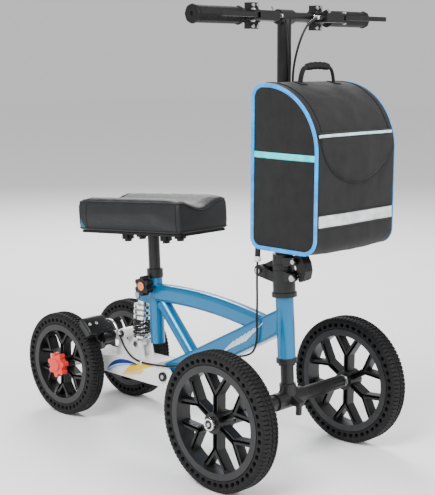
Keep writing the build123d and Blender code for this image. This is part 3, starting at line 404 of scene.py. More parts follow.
def tube(name, path, radius, material, body, slot, replaced=(), sides=10, closed=False, squeeze=1.0,
         flat=None):
    """A round or flattened tube along a path; radius is a number or a function of 0..1.

    squeeze scales the section's second axis, which points along flat where that is given.
    """
    count = len(path)
    points = []
    side = None
    for index, centre in enumerate(path):
        if closed:
            along = (path[(index + 1) % count] - path[index - 1]).normalized()
        else:
            along = (path[min(index + 1, count - 1)] - path[max(index - 1, 0)]).normalized()
        if flat is not None:
            side = flat.cross(along)
        elif side is None:
            side = along.orthogonal().normalized()
        side = (side - along * side.dot(along)).normalized()
        other = along.cross(side)
        size = radius(index / (count - 1)) if callable(radius) else radius
        for turn in range(sides):
            angle = math.tau * turn / sides
            points.append(centre + size * (math.cos(angle) * side + squeeze * math.sin(angle) * other))
    faces = grid_faces(count, sides, True, closed)
    if not closed:
        faces += end_faces(count, sides)
    return mesh_piece(name, points, faces, material, body, slot, replaced)


def lathe(name, profile, centre, axis, material, body, slot, replaced=(), turns=48):
    """Profile (radius, distance along the axis) turned about a line; both ends closed."""
    axis = Vector(axis).normalized()
    side = axis.orthogonal().normalized()
    other = axis.cross(side)
    points = []
    for radius, along in profile:
        for turn in range(turns):
            angle = math.tau * turn / turns
            points.append(centre + (along * axis + radius * (math.cos(angle) * side
                                                             + math.sin(angle) * other)) / 1000)
    faces = grid_faces(len(profile), turns, True) + end_faces(len(profile), turns)
    return mesh_piece(name, points, faces, material, body, slot, replaced)


# ---------------------------------------------------------------- tyres
def tyre(side, end, axle_x, track, outer, width, flange, holes):
    """Airless tyre: blocks on the tread, a row of oval cells through each side wall."""
    half = width / 2
    side_sign = 1 if side == "left" else -1
    hole_middle, hole_high, hole_depth = outer - 18.0, 5.0, 11
    hole_wide, hole_rows, taper = 0.33, range(3, 8), 1.7    # the floor of a cell is taper times its mouth
    groove = 3.6
    wall = [(flange - 5, half - 9), (flange, half - 4.5), (flange + 1.5, half - 2.4)]
    wall += [(hole_middle + hole_high * k, half - 1.2 + 0.5 * k) for k in (-1, -0.5, 0, 0.5, 1)]
    wall += [(outer - 11, half - 0.4), (outer - 7, half - 0.8)]
    tread = [(outer - 3.2, half - 2.4, 1), (outer - 0.9, half - 5, 1), (outer, half - 8, 1),
             (outer, half - 11, 1), (outer - groove, half - 12, 0), (outer, half - 13.2, 2),
             (outer, 2.2, 2), (outer - groove, 1.2, 0)]
    pitch = math.tau / holes
    flat = (0.17, 0.32, 0.5, 0.68, 0.83, 1.0)
    notched = (0.04, 0.38, 0.46, 0.54, 0.88, 0.96)
    low_columns = {1: (2, 5), 2: (1, 4)}
    rows = []
    for sign in (1, -1):
        part = []
        for index, (radius, y) in enumerate(wall):
            row = []
            for cell in range(holes):
                for column, place in enumerate(flat):
                    here, across_y = radius, y
                    if index in hole_rows and column < 5:
                        u, v = (column - 2) / 2, (index - 5) / 2
                        size = max(abs(u), abs(v))
                        if size > 0:
                            stretch = size / math.hypot(u, v)
                            place = 0.5 + hole_wide * u * stretch
                            here = hole_middle + hole_high * v * stretch
                        if size < 0.9:
                            across_y = y - hole_depth
                            place = 0.5 + (place - 0.5) * taper
                            here = hole_middle + (here - hole_middle) * taper
                    row.append(((cell + place) * pitch, here, across_y))
            part.append(row)
        for radius, y, kind in tread:
            row = []
            for cell in range(holes):
                for column, place in enumerate(notched):
                    here = radius
                    if kind and column in low_columns[kind]:
                        here = radius - groove
                    row.append(((cell + place) * pitch, here, y))
            part.append(row)
        if sign < 0:
            part = [[(angle, radius, -y) for angle, radius, y in row] for row in reversed(part)]
        rows += part
    centre = at(axle_x, side_sign * track / 2, outer)
    points = [centre + Vector((radius * math.cos(angle), y, radius * math.sin(angle))) / 1000
              for row in rows for angle, radius, y in row]
    faces = grid_faces(len(rows), holes * 6, True, True)
    piece = mesh_piece(f"{end}_{side}_airless_tyre", points, faces, MATERIALS["tyre"],
                       f"{end}_{side}_wheel", "tyre", (f"{end}_{side}_tyre",))
    piece.data.set_sharp_from_angle(angle=math.radians(40))


def tyres():
    for side in ("left", "right"):
        tyre(side, "front", 0, 448, FRONT_RADIUS, 46, 124, 48)
        tyre(side, "rear", REAR_AXLE_X, 225, REAR_RADIUS, 43, 103, 44)


# ---------------------------------------------------------------- bag
BAG_CORNERS = ((145, 550, 35, -90), (40, 722, 140, 0), (30, 832, 30, 90), (25, 540, 25, 180))
BAG_CENTRE = (90, 690)
BAG_HALF = 130
BAG_DEPTH, BAG_HALF_HIGH = 180, 174         # of its side view, about BAG_CENTRE
HANDLE_X = 68


def bag_outline(spacing=6.0):
    """Points (x, z, outward x, outward z) round the bag's side view."""
    corners = []
    for centre_x, centre_z, radius, start in BAG_CORNERS:
        steps = max(5, int(radius * math.pi / 2 / spacing))
        for step in range(steps + 1):
            angle = math.radians(start + 90 * step / steps)
            out = (math.cos(angle), math.sin(angle))
            corners.append((centre_x + radius * out[0], centre_z + radius * out[1], *out))
    outline = []
    for here, after in zip(corners, corners[1:] + corners[:1]):
        length = math.hypot(after[0] - here[0], after[1] - here[1])
        parts = max(1, round(length / spacing))
        for part in range(parts):
            outline.append(tuple(a + (b - a) * part / parts for a, b in zip(here, after)))
    return outline


def sag(x, y, z):
    """How far the fabric stands off its pattern at a point, in mm."""
    broad = noise.noise(Vector((x, y * 1.4, z)) / 62)
    creases = noise.noise(Vector((x * 2, y, z * 0.6)) / 21)
    return 2.0 * broad + 0.7 * creases


def bag_skin(x, z, out_x, out_z, y, lift=0.0):
    """A point on the bag's main panel, bulged and creased, as a point in the frame."""
    crown = 1 - (y / BAG_HALF) ** 2
    front = max(0.0, min(1.0, x / 60))
    away = 3.2 * crown * front + crown ** 0.5 * front * sag(x, y, z) + lift
    return at(x + out_x * away, y, z + out_z * away)


def bag_front(z, y, lift=0.0):
    """A point on the front of the bag at a height; above the straight part it follows the arc."""
    centre_x, centre_z, radius = BAG_CORNERS[1][:3]
    if z <= centre_z:
        return bag_skin(BAG_DEPTH, z, 1, 0, y, lift)
    angle = math.asin((z - centre_z) / radius)
    out = (math.cos(angle), math.sin(angle))
    return bag_skin(centre_x + radius * out[0], z, *out, y, lift)


def bag_side(x, z, sign, lift=0.0):
    """A point on a side panel, which bulges between its bound edges."""
    reach = max(abs(x - BAG_CENTRE[0]) / 90, abs(z - BAG_CENTRE[1]) / BAG_HALF_HIGH)
    hollow = max(0.0, 1 - reach ** 2)
    away = 4.5 * hollow + hollow ** 0.5 * 0.8 * sag(x, sign * 300, z) + lift
    return at(x, sign * (BAG_HALF - 1.5 + away), z)


def band(name, z_low, z_high, half, lift, material, rows=4, columns=60, low_edge=None):
    """Tape or a flap on the front of the bag; low_edge gives the lower edge's height at a y."""
    points = []
    for row in range(rows + 1):
        for column in range(columns + 1):
            y = half * (2 * column / columns - 1)
            low = low_edge(y) if low_edge else z_low
            z = low + (z_high - low) * row / rows
            edge = min(row, rows - row, column, columns - column)
            points.append(bag_front(z, y, lift if edge else lift * 0.35))
    return mesh_piece(name, points, grid_faces(rows + 1, columns + 1), material, *ON_BAG, thick=0.0006)


def bag():
    outline = bag_outline()
    count = len(outline)
    columns = 44
    points = []
    for index in range(columns + 1):
        y = BAG_HALF * (2 * index / columns - 1)
        points += [bag_skin(x, z, out_x, out_z, y) for x, z, out_x, out_z in outline]
    faces = grid_faces(columns + 1, count, True)
    rings = 16
    for sign, start in ((-1, 0), (1, columns * count)):
        before = list(range(start, start + count))
        for ring_index in range(1, rings):
            scale = 1 - ring_index / rings
            first = len(points)
            for x, z, out_x, out_z in outline:
                points.append(bag_side(BAG_CENTRE[0] + (x - BAG_CENTRE[0]) * scale,
                                       BAG_CENTRE[1] + (z - BAG_CENTRE[1]) * scale, sign))
            now = list(range(first, first + count))
            faces += [(before[k], before[(k + 1) % count], now[(k + 1) % count], now[k])
                      for k in range(count)]
            before = now
        faces.append(tuple(before))
    mesh_piece("mast_bag", points, faces, BAG_CLOTH, *ON_BAG, ("bag_shell",))

    for sign, name in RIGHT_LEFT:
        rim_path = [at(x - 3.6 * out_x, sign * (BAG_HALF + 0.2), z - 3.6 * out_z)
                    for x, z, out_x, out_z in outline]
        tube(f"bag_binding_{name}", rim_path, 0.0046, BINDING, *ON_BAG, closed=True, sides=14,
             squeeze=0.5, flat=Vector((0, 1, 0)))
        tape_points = []
        for row in range(5):
            for step in range(31):
                x = 4 + 172 * step / 30
                lift = 1.1 if 0 < row < 4 else 0.4
                tape_points.append(bag_side(x, 708.5 + 13 * row / 4, sign, lift))
        mesh_piece(f"bag_side_tape_{name}", tape_points, grid_faces(5, 31), CYAN_TAPE, *ON_BAG,
                   thick=0.0006)
        seam_path = [bag_side(BAG_CENTRE[0] + (x - BAG_CENTRE[0]) * 0.93,
                              BAG_CENTRE[1] + (z - BAG_CENTRE[1]) * 0.962, sign, 0.3)
                     for x, z, out_x, out_z in outline]
        stitches(f"bag_side_stitches_{name}", seam_path, THREAD, "mast")

    def flap_low(y):
        """Height of the flap's half-oval lower edge."""
        return 757 - 97 * max(0.0, 1 - (y / 121) ** 2) ** 0.5

    band("bag_flap", 0, 759, 120, 2.2, BAG_CLOTH, 14, 72, flap_low)
    edge = [bag_front(flap_low(120 * k / 40), 120 * k / 40, 1.6) for k in range(-40, 41)]
    tube("bag_flap_piping", edge, 0.0013, BAG_TRIM, *ON_BAG, sides=8)
    stitches("bag_flap_stitches", [bag_front(flap_low(115 * k / 60) + 7, 113 * k / 60, 2.9)
                                   for k in range(-56, 57)], THREAD, "mast")
    band("bag_top_tape", 755.5, 763, 124, 3.6, PALE_TAPE)
    band("bag_tape_backing", 752.5, 766, 125, 2.6, BAG_TRIM)
    band("bag_reflector", 575, 599, 125, 1.8, REFLECTOR, 6)
    band("bag_reflector_backing", 571.5, 602.5, 125.5, 0.9, BAG_TRIM)
    for z in (572.7, 601.4):
        stitches(f"bag_reflector_stitches_{int(z)}", [bag_front(z, y, 1.6) for y in range(-122, 123, 2)],
                 THREAD, "mast")
    for sign, name in RIGHT_LEFT:
        zip_path = [bag_skin(x, z, out_x, out_z, sign * 112, 0.5) for x, z, out_x, out_z in outline
                    if z > BAG_CORNERS[1][1] and x > 12]
        tube(f"bag_zip_{name}", zip_path, 0.0017, BAG_TRIM, *ON_BAG, sides=8, squeeze=0.6)
    lathe("bag_zip_pull", [(0.5, 0), (3, 0.5), (3.4, 6), (2.4, 14), (0.6, 15)], at(-1.5, -112, 800),
          (-0.1, 0, -1), MATERIALS["steel"], "mast", "steel", turns=16)

    turns, strap_radius = 40, 20.5
    strap_faces = grid_faces(2, turns, True)
    for name, height in (("low", 565), ("high", 700)):
        middle = mast_x(height)
        points = []
        for z in (height - 15, height + 15):
            for turn in range(turns):
                angle = math.tau * turn / turns
                x = middle + strap_radius * math.cos(angle)
                y = strap_radius * math.sin(angle)
                if x > middle:              # flattened against the bag
                    x = min(-0.4, middle + 26 * math.cos(angle))
                    y = math.copysign(min(21.0, abs(y) + 7 * math.cos(angle)), y)
                points.append(at(x, y, z))
        mesh_piece(f"bag_strap_{name}", points, strap_faces, BAG_TRIM, *ON_BAG,
                   ("bag_straps",) if name == "low" else (), thick=0.0022)

    half = ((56, 853), (54, 872), (47, 889), (36, 895), (18, 897.5))
    web = [at(HANDLE_X, -y, z) for y, z in half] + [at(HANDLE_X, 0, 898)]
    web += [at(HANDLE_X, y, z) for y, z in reversed(half)]
    tube("bag_handle_web", smooth_path(web), 0.0052, BAG_TRIM, "mast", "black_plastic", ("bag_handle",),
         squeeze=0.7)
    top = [at(HANDLE_X, y, 895.2 + 2.8 * (1 - (y / 36) ** 2)) for y in range(-36, 37, 4)]
    tube("bag_handle_grip", smooth_path(top, 3), grip_swell, MATERIALS["grip_rubber"],
         "mast", "black_plastic", sides=20)
    for sign, name in RIGHT_LEFT:
        points = [bag_front_top(HANDLE_X + dx, sign * 56 + dy, 1.2) for dy in (-10, -5, 0, 5, 10)
                  for dx in (-13, -6, 0, 6, 13)]
        mesh_piece(f"bag_handle_patch_{name}", points, grid_faces(5, 5), BAG_TRIM, *ON_BAG, thick=0.001)


def bag_front_top(x, y, lift):
    """A point on the arc at the top of the bag, at an x."""
    centre_x, centre_z, radius = BAG_CORNERS[1][:3]
    angle = math.acos((x - centre_x) / radius)
    out = (math.cos(angle), math.sin(angle))
    return bag_skin(x, centre_z + radius * out[1], *out, y, lift)


def grip_swell(t):
    """Radius along the carry handle's rubber: full in the middle, with finger ridges."""
    end = min(1.0, 12 * min(t, 1 - t))
    return (5.6 + 2.4 * end ** 0.5 + 0.35 * math.cos(t * math.tau * 5)) / 1000


def stitches(name, path, material, body, length=2.6, gap=1.5, radius=0.00035):
    """A run of short sewing stitches along a path."""
    points, faces = [], []
    travelled, drawing = 0.0, True
    tiny = 1e-7
    begin = path[0]
    for a, b in zip(path, path[1:]):
        span = (b - a).length
        if span == 0:
            continue
        position = 0.0
        while position < span:
            whole = (length if drawing else gap) / 1000
            step = min(whole - travelled, span - position)
            position += step
            travelled += step
            here = a + (b - a) * (position / span)
            if travelled >= whole - tiny:
                if drawing:
                    along = (here - begin).normalized()
                    side = along.orthogonal().normalized() * radius
                    other = along.cross(side)
                    first = len(points)
                    for end in (begin, here):
                        points += [end + side, end + other, end - side, end - other]
                    faces += [tuple(first + k for k in face)
                              for face in grid_faces(2, 4, True) + end_faces(2, 4)]
                begin = here
                travelled, drawing = 0.0, not drawing
    return mesh_piece(name, points, faces, material, body, "bag_fabric" if body == "mast" else "vinyl")


# ---------------------------------------------------------------- knee pad
PAD_PITCH = math.radians(4.5)
PAD_MIDDLE = (-452.0, 531.7)
PAD_HALF = (189.0, 88.0, 40.5)
PAD_CORNER = 14                             # radius, seen from above
PAD_STRIP_SEAM = -147                       # forward of the middle


def pad_at(u, v, w):
    """A point in the pad's own axes: forward, left and up from its middle."""
    return at(PAD_MIDDLE[0] + u * math.cos(PAD_PITCH) - w * math.sin(PAD_PITCH), v,
              PAD_MIDDLE[1] + u * math.sin(PAD_PITCH) + w * math.cos(PAD_PITCH))


def pad_top(v):
    """Height of the dished top across the pad."""
    across = min(1.0, abs(v) / 80)
    dish_depth = 21.5
    return PAD_HALF[2] + 2.5 - dish_depth * math.cos(across * math.pi / 2) ** 2


def pad_ring(inset, per_side=(44, 22), corner=7):
    """Rounded rectangle in u, v, at an inset from the pad's outline."""
    half_u, half_v = PAD_HALF[0] - inset, PAD_HALF[1] - inset
    radius = max(PAD_CORNER - inset * 0.5, 3)
    ring = []
    for centre_u, centre_v, start, steps in ((1, 1, 0, per_side[0]), (-1, 1, 90, per_side[1]),
                                             (-1, -1, 180, per_side[0]), (1, -1, 270, per_side[1])):
        for step in range(corner + 1):
            angle = math.radians(start + 90 * step / corner)
            ring.append((centre_u * (half_u - radius) + radius * math.cos(angle),
                         centre_v * (half_v - radius) + radius * math.sin(angle)))
        a = ring[-1]
        after = math.radians(start + 90)
        next_u, next_v = -centre_v * (half_u - radius), centre_u * (half_v - radius)
        b = (next_u + radius * math.cos(after), next_v + radius * math.sin(after))
        ring += [(a[0] + (b[0] - a[0]) * k / steps, a[1] + (b[1] - a[1]) * k / steps)
                 for k in range(1, steps)]
    return ring


def knee_pad():
    """Dished cushion: built small, swollen as cloth, then bound and seamed."""
    slack = 2.5
    levels = [(0.0, 12), (0.02, 5), (0.07, 1.5), (0.3, 0), (0.6, 0), (0.82, 0.5), (0.93, 3), (0.985, 7)]
    points = []
    count = len(pad_ring(0))
    for share, inset in levels:
        for u, v in pad_ring(inset + slack):
            low = -PAD_HALF[2]
            high = pad_top(v) - slack
            points.append(pad_at(u, v, low + (high - low) * share))
    faces = grid_faces(len(levels), count, True)
    rings = 14                              # across the top, from its edge to its middle
    for ring_index in range(rings):
        inset = 12 + (PAD_HALF[1] - PAD_CORNER) * ring_index / rings
        for u, v in pad_ring(inset + slack):
            points.append(pad_at(u, v, pad_top(v) - slack))
    start = (len(levels) - 1) * count
    faces += [tuple(start + k for k in face) for face in grid_faces(rings + 1, count, True)]
    faces += reversed(end_faces(len(levels) + rings, count))
    pad = mesh_piece("knee_cushion", points, faces, PAD_VINYL, "seat", "vinyl", ("knee_pad",))
    swell(pad, voxel=4.5, pressure=4.0, cap=6.0)

    surface = BVHTree.FromObject(pad, bpy.context.evaluated_depsgraph_get())

    def on_skin(u, v, w, lift=0.4):
        place, normal, _, _ = surface.find_nearest(pad_at(u, v, w))
        return place + normal * lift / 1000

    piping = [on_skin(u, v, pad_top(v) - 6.5) for u, v in pad_ring(0)]
    tube("pad_top_piping", piping, 0.0015, PAD_TRIM, *ON_PAD, closed=True, sides=8)
    piping = [on_skin(u, v, -PAD_HALF[2] + 5) for u, v in pad_ring(0)]
    tube("pad_low_piping", piping, 0.0013, PAD_TRIM, *ON_PAD, closed=True, sides=8)
    seam_places = [(u, sign) for u in (176, -176, PAD_STRIP_SEAM) for sign in (-1, 1)]
    for number, (u, sign) in enumerate(seam_places, 1):
        seam = [on_skin(u, sign * 92, w, 0.1) for w in range(-34, 35, 3)]
        tube(f"pad_side_seam_{number}", seam, 0.0009, PAD_TRIM, *ON_PAD, sides=6)
    strip = [on_skin(PAD_STRIP_SEAM, v, pad_top(v) + 4, 0.1) for v in range(-86, 87, 4)]
    tube("pad_strip_seam", strip, 0.0009, PAD_TRIM, *ON_PAD, sides=6)
    for offset, end in ((-4.5, "rear"), (4.5, "front")):
        stitches(f"pad_strip_stitches_{end}",
                 [on_skin(PAD_STRIP_SEAM + offset, v, pad_top(v) + 4, 0.3) for v in range(-84, 85, 3)],
                 PAD_THREAD, "seat")


CREASE_PASSES = 14              # times that each move is averaged with its neighbours' moves
FREE_HEIGHT = 14                # mm above the board at which the sides move freely


def swell(piece, voxel, pressure, cap):
    """Inflate a closed mesh as cloth for 20 frames, then keep at most cap mm of the movement."""
    bpy.context.view_layer.objects.active = piece
    remesh = piece.modifiers.new("even", "REMESH")
    remesh.mode = "VOXEL"
    remesh.voxel_size = voxel / 1000
    depsgraph = bpy.context.evaluated_depsgraph_get()
    even = bpy.data.meshes.new_from_object(piece.evaluated_get(depsgraph))
    piece.modifiers.remove(remesh)
    piece.data = even
    start = [vertex.co.copy() for vertex in even.vertices]
    cloth = piece.modifiers.new("cloth", "CLOTH")
    settings = cloth.settings
    settings.quality = 6
    settings.mass = 0.2
    settings.tension_stiffness = 22
    settings.compression_stiffness = 22
    settings.shear_stiffness = 8
    settings.bending_stiffness = 1.2
    settings.use_pressure = True
    settings.uniform_pressure_force = pressure
    settings.effector_weights.gravity = 0
    scene = bpy.context.scene
    scene.frame_start, scene.frame_end = 1, 20
    for frame_number in range(1, 21):
        scene.frame_set(frame_number)
    depsgraph = bpy.context.evaluated_depsgraph_get()
    blown = bpy.data.meshes.new_from_object(piece.evaluated_get(depsgraph))
    piece.modifiers.remove(cloth)

    moves = []
    for vertex, before in zip(blown.vertices, start):
        move = vertex.co - before
        if move.length > cap / 1000:
            move *= cap / 1000 / move.length
        moves.append(move)
    links = [[] for _ in moves]
    for edge in blown.edges:
        a, b = edge.vertices
        links[a].append(b)
        links[b].append(a)
    for _ in range(CREASE_PASSES):
        moves = [(move + sum((moves[other] for other in near), Vector())) / (1 + len(near))
                 for move, near in zip(moves, links)]
    up = pad_at(0, 0, 1000) - pad_at(0, 0, 0)
    for vertex, before, move in zip(blown.vertices, start, moves):
        height = (before - pad_at(0, 0, 0)).dot(up) * 1000
        vertex.co = before + move * max(0.0, min(1.0, (height + PAD_HALF[2] - 1) / FREE_HEIGHT))
    piece.data = blown
    scene.frame_set(1)
    finer = piece.modifiers.new("finer", "SUBSURF")
    finer.levels = finer.render_levels = 1
    depsgraph = bpy.context.evaluated_depsgraph_get()
    final = bpy.data.meshes.new_from_object(piece.evaluated_get(depsgraph))
    piece.modifiers.remove(finer)
    piece.data = final
    for polygon in final.polygons:
        polygon.use_smooth = True
    if not final.materials:
        final.materials.append(PAD_VINYL)


# ---------------------------------------------------------------- cables and spring
def cable(name, route, radius, material, body, replaced=(), as_mesh=False):
    """A cable of fixed radius on one smooth spline whose control points are the route."""
    curve = bpy.data.curves.new(name, "CURVE")
    curve.dimensions = "3D"
    spline = curve.splines.new("NURBS")
    spline.points.add(len(route) - 1)
    for point, place in zip(spline.points, route):
        point.co = (*at(*place), 1)
    spline.order_u = 3
    spline.use_endpoint_u = True
    spline.resolution_u = 8
    curve.bevel_depth = radius / 1000
    curve.bevel_resolution = 3
    curve.use_fill_caps = True
    thing = bpy.data.objects.new(name, curve)
    if not as_mesh:
        return finish_piece(thing, material, body, replaced)
    bpy.context.scene.collection.objects.link(thing)
    mesh = bpy.data.meshes.new_from_object(thing.evaluated_get(bpy.context.evaluated_depsgraph_get()))
    bpy.data.objects.remove(thing)
    for polygon in mesh.polygons:
        polygon.use_smooth = True
    return finish_piece(bpy.data.objects.new(name, mesh), material, body, replaced)


RIGHT_CABLE = ((17.5, -60.4, 1000), (6, -41, 1004), (-4, -21, 990), (-5, -8, 960), (-3, -5, 915),
               (-5.5, -4, 868), (-4, -8, 822), (-14, -24, 785), (-30, -32, 745), (-42, -36, 700),
               (-50, -36.9, 650))
LEFT_CABLE = ((17.5, 60.4, 1000), (17, 39, 994), (13, 18, 970), (5, 7, 930), (-3, 4, 887), (-4, 5, 845),
              (-4, -1, 805), (-13, -20, 765), (-29, -27, 728), (-42, -30, 690), (-50, -31.7, 650))
SLEEVE = ((-50, -34.3, 649.5), (-56, -35, 600), (-61, -36, 550), (-64, -36, 500), (-65, -36, 464))
HANGING_CABLE = ((-65, -36, 463.5), (-67, -35, 420), (-66, -34, 375), (-69, -32, 330), (-68, -30.5, 290),
                 (-76, -30, 256), (-98, -30, 240), (-122, -30, 233.7))
BEAM_CABLE = ((-122.4, -30, 233.6), (-160, -29, 224), (-215, -29, 203), (-270, -30, 185.5),
              (-320, -36, 174), (-352, -41, 167))
REAR_CABLE = ((-352.5, -41, 166.9), (-400, -41, 161), (-445, -41, 158.5), (-480, -42, 165),
              (-503, -45, 185), (-512, -50, 210), (-519, -55, 231))
CABLE_RADIUS = 2.5
NOODLE = ((-520.3, -55.4, 232.8), (-529, -55, 247), (-545, -55, 254), (-563, -55, 252))


def cables():
    """Brake cables, cut where part.py cuts them, with their ferrules, band and tie."""
    black = MATERIALS["cable_rubber"]

    def blended(name, route, replaced, bodies, start, end):
        """A cable that crosses the joint between two bodies, left on no body; bodies, start and end are not
        used.
        """
        piece = cable(name, route, CABLE_RADIUS, black, None, replaced, True)
        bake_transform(piece)

    upper = (("handlebar", "mast"), (0, 0, 990), (-50, -34, 660))
    blended("upper_cable_right", RIGHT_CABLE, ("upper_cables",), *upper)
    blended("upper_cable_left", LEFT_CABLE, (), *upper)
    cable("cable_boot", SLEEVE, 6.5, black, "mast", ("cable_sleeve",))
    blended("cable_to_frame", HANGING_CABLE, ("hanging_cable",), ("steering", "frame"),
            (-66, -34, 440), (-76, -30, 256))
    blended("cable_under_beam", BEAM_CABLE, ("beam_cable",), ("frame", "swing_arm"),
            (-300, -34, 178), (-350, -41, 167.5))
    cable("cable_to_brake", REAR_CABLE, CABLE_RADIUS, black, "swing_arm", ("rear_cable",))
    cable("brake_noodle", NOODLE, 3.5, MATERIALS["chrome"], "swing_arm")
    lathe("sleeve_band", [(6.3, 0), (7.4, 0.4), (7.5, 6), (7.4, 11.6), (6.3, 12)], at(-65, -36, 464.5),
          (0.05, 0, 1), WHITE_TAPE, "mast", "white_paint", turns=24)
    lathe("noodle_ferrule", [(3.6, 0), (4.6, 0.5), (4.6, 9), (3.8, 11)], at(-514, -52, 221),
          (-0.35, -0.15, 0.9), MATERIALS["chrome"], "swing_arm", "chrome", turns=20)
    for sign, name in RIGHT_LEFT:
        lathe(f"lever_ferrule_{name}", [(2.6, 0), (4.4, 0.5), (4.4, 5), (3.6, 6), (3.6, 12), (2.7, 13)],
              at(19, sign * 63.5, BAR_Z), (-0.45, -sign * 0.85, 0.1), MATERIALS["chrome"], "handlebar",
              "chrome", turns=20)
    tie_radius = 4.2
    tie = [at(-445, -41 + tie_radius * math.cos(a), 158.5 + tie_radius * math.sin(a))
           for a in (math.tau * k / 20 for k in range(20))]
    tube("cable_tie", tie, 0.0011, WHITE_TAPE, *ON_ARM, closed=True, sides=6, squeeze=2.4)


def spring():
    """Open coil of the shock, which shortens towards its upper seat."""
    foot, head = at(-490, 0, 195), at(-482, 0, 322)
    axis = (head - foot).normalized()
    side = Vector((0, 1, 0))
    other = axis.cross(side)
    low, high, turns, radius = 0.0225, 0.0655, 3.6, 0.0212
    wire, steps = 0.0028, 144
    path = []
    for step in range(steps + 1):
        share = step / steps
        eased = share - 0.045 * math.sin(math.tau * share)      # closer coils at both ends
        angle = math.tau * turns * share
        path.append(foot + axis * (low + 0.003 + (high - low - 0.006) * eased)
                    + radius * (math.cos(angle) * side + math.sin(angle) * other))
    coil = tube("shock_coil", path, wire, MATERIALS["black_metal"], "shock_body", "black_metal",
                ("shock_spring",), sides=12)
    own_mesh(coil)


# ---------------------------------------------------------------- handlebar grips
def grips():
    """Eight-sided rubber grips with soft corners, ribs and a flanged end with its plug hole."""
    bar_x = mast_x(BAR_Z)
    for sign, name in RIGHT_LEFT:
        profile = [(11.2, 143.2), (19.2, 143.2), (20, 144), (20, 148), (19.4, 149.2), (17.6, 149.8)]
        ribs = 15
        for rib in range(ribs):
            start = 153 + 116 * rib / ribs
            profile += [(17.9, start), (18.0, start + 5.2), (17.3, start + 5.9), (17.3, start + 7.2)]
        profile += [(17.9, 270.5), (18.2, 273), (19.6, 274.4), (20, 275.4), (20, 279.6), (19.2, 280.8),
                    (6, 281), (4.8, 280.4), (4.4, 277.5), (0.6, 277.2)]
        turns = 64
        points = []
        for radius, y in profile:
            for turn in range(turns):
                angle = math.tau * (turn + 0.5) / turns
                inside = abs((angle - math.pi / 8) % (math.pi / 4) - math.pi / 8)
                eight = math.cos(math.pi / 8) / math.cos(math.pi / 8 - inside)
                size = radius if radius < 12 else radius * (0.30 + 0.70 * min(1.0, eight))
                points.append(at(bar_x + size * math.cos(angle), sign * y, BAR_Z + size * math.sin(angle)))
        faces = grid_faces(len(profile), turns, True) + end_faces(len(profile), turns)
        piece = mesh_piece(f"grip_{name}", points, faces, MATERIALS["grip_rubber"], "handlebar",
                           "grip_rubber", ("grips",) if name == "right" else ())
        piece.data.set_sharp_from_angle(angle=math.radians(38))


# ---------------------------------------------------------------- flat graphics
def decal(name, outline, y, material, body, slot):
    """A thin printed shape on a side face that stands across y, both sides of the scooter."""
    for sign, side in RIGHT_LEFT:
        points = [at(x, sign * y, z) for x, z in outline]
        points += [at(x, sign * (y + 0.25), z) for x, z in outline]
        faces = end_faces(2, len(outline)) + grid_faces(2, len(outline), True)
        mesh_piece(f"{name}_{side}", points, faces, material, body, slot, smooth=False)


def sweep_between(low, high, steps=14):
    """Outline between two quadratic arcs, each given by three points."""
    def arc(points, t):
        (ax, az), (bx, bz), (cx, cz) = points
        return ((1 - t) ** 2 * ax + 2 * t * (1 - t) * bx + t * t * cx,
                (1 - t) ** 2 * az + 2 * t * (1 - t) * bz + t * t * cz)
    return ([arc(low, k / steps) for k in range(steps + 1)]
            + [arc(high, 1 - k / steps) for k in range(steps + 1)])


def graphics():
    """Sweeps and hatching on the white arm, bars on the main beam."""
    arm_face, beam_face = 37.05, 25.05
    for name, ink, low, high in (
            ("navy", NAVY_INK, ((-584, 114), (-548, 145), (-466, 148)),
             ((-578, 122), (-545, 165), (-466, 150))),
            ("pale", PALE_INK, ((-572, 112), (-530, 140), (-472, 145)),
             ((-582, 113), (-546, 143), (-468, 147))),
            ("yellow", YELLOW_INK, ((-514, 121), (-462, 134), (-408, 155)),
             ((-494, 143), (-455, 157), (-408, 158)))):
        decal(f"arm_{name}_sweep", sweep_between(low, high), arm_face, ink, *ON_ARM)
    for number in range(9):
        x = -524 + 8 * number
        z = 112 + 1.6 * number
        line = [(x, z), (x + 3.0, z - 0.6), (x + 17, z + 14), (x + 14, z + 15)]
        decal(f"arm_hatch_{number}", line, arm_face + 0.3, YELLOW_INK, *ON_ARM)
    for number in range(8):
        x, z = -181 + 9.5 * number, 233 + 5.2 * number
        reach = 34 + 3.2 * number
        line = [(x, z), (x + 5.0, z + 1.2), (x + reach + 1.4, z + reach * 0.93),
                (x + reach, z + reach * 0.95)]
        decal(f"beam_stripe_{number}", line, beam_face, WHITE_INK, "frame", "blue_paint")


# ---------------------------------------------------------------- small fittings
def shoe_at(radius, angle, y):
    """Place at a radius and an angle (degrees) about the rear axle."""
    turn = math.radians(angle)
    return at(REAR_AXLE_X + radius * math.cos(turn), y, REAR_RADIUS + radius * math.sin(turn))


SHOE_ANGLE = 48                 # degrees about the rear axle, at the shoe's middle
BRAKE_PIN = (-545, 212)         # x, z


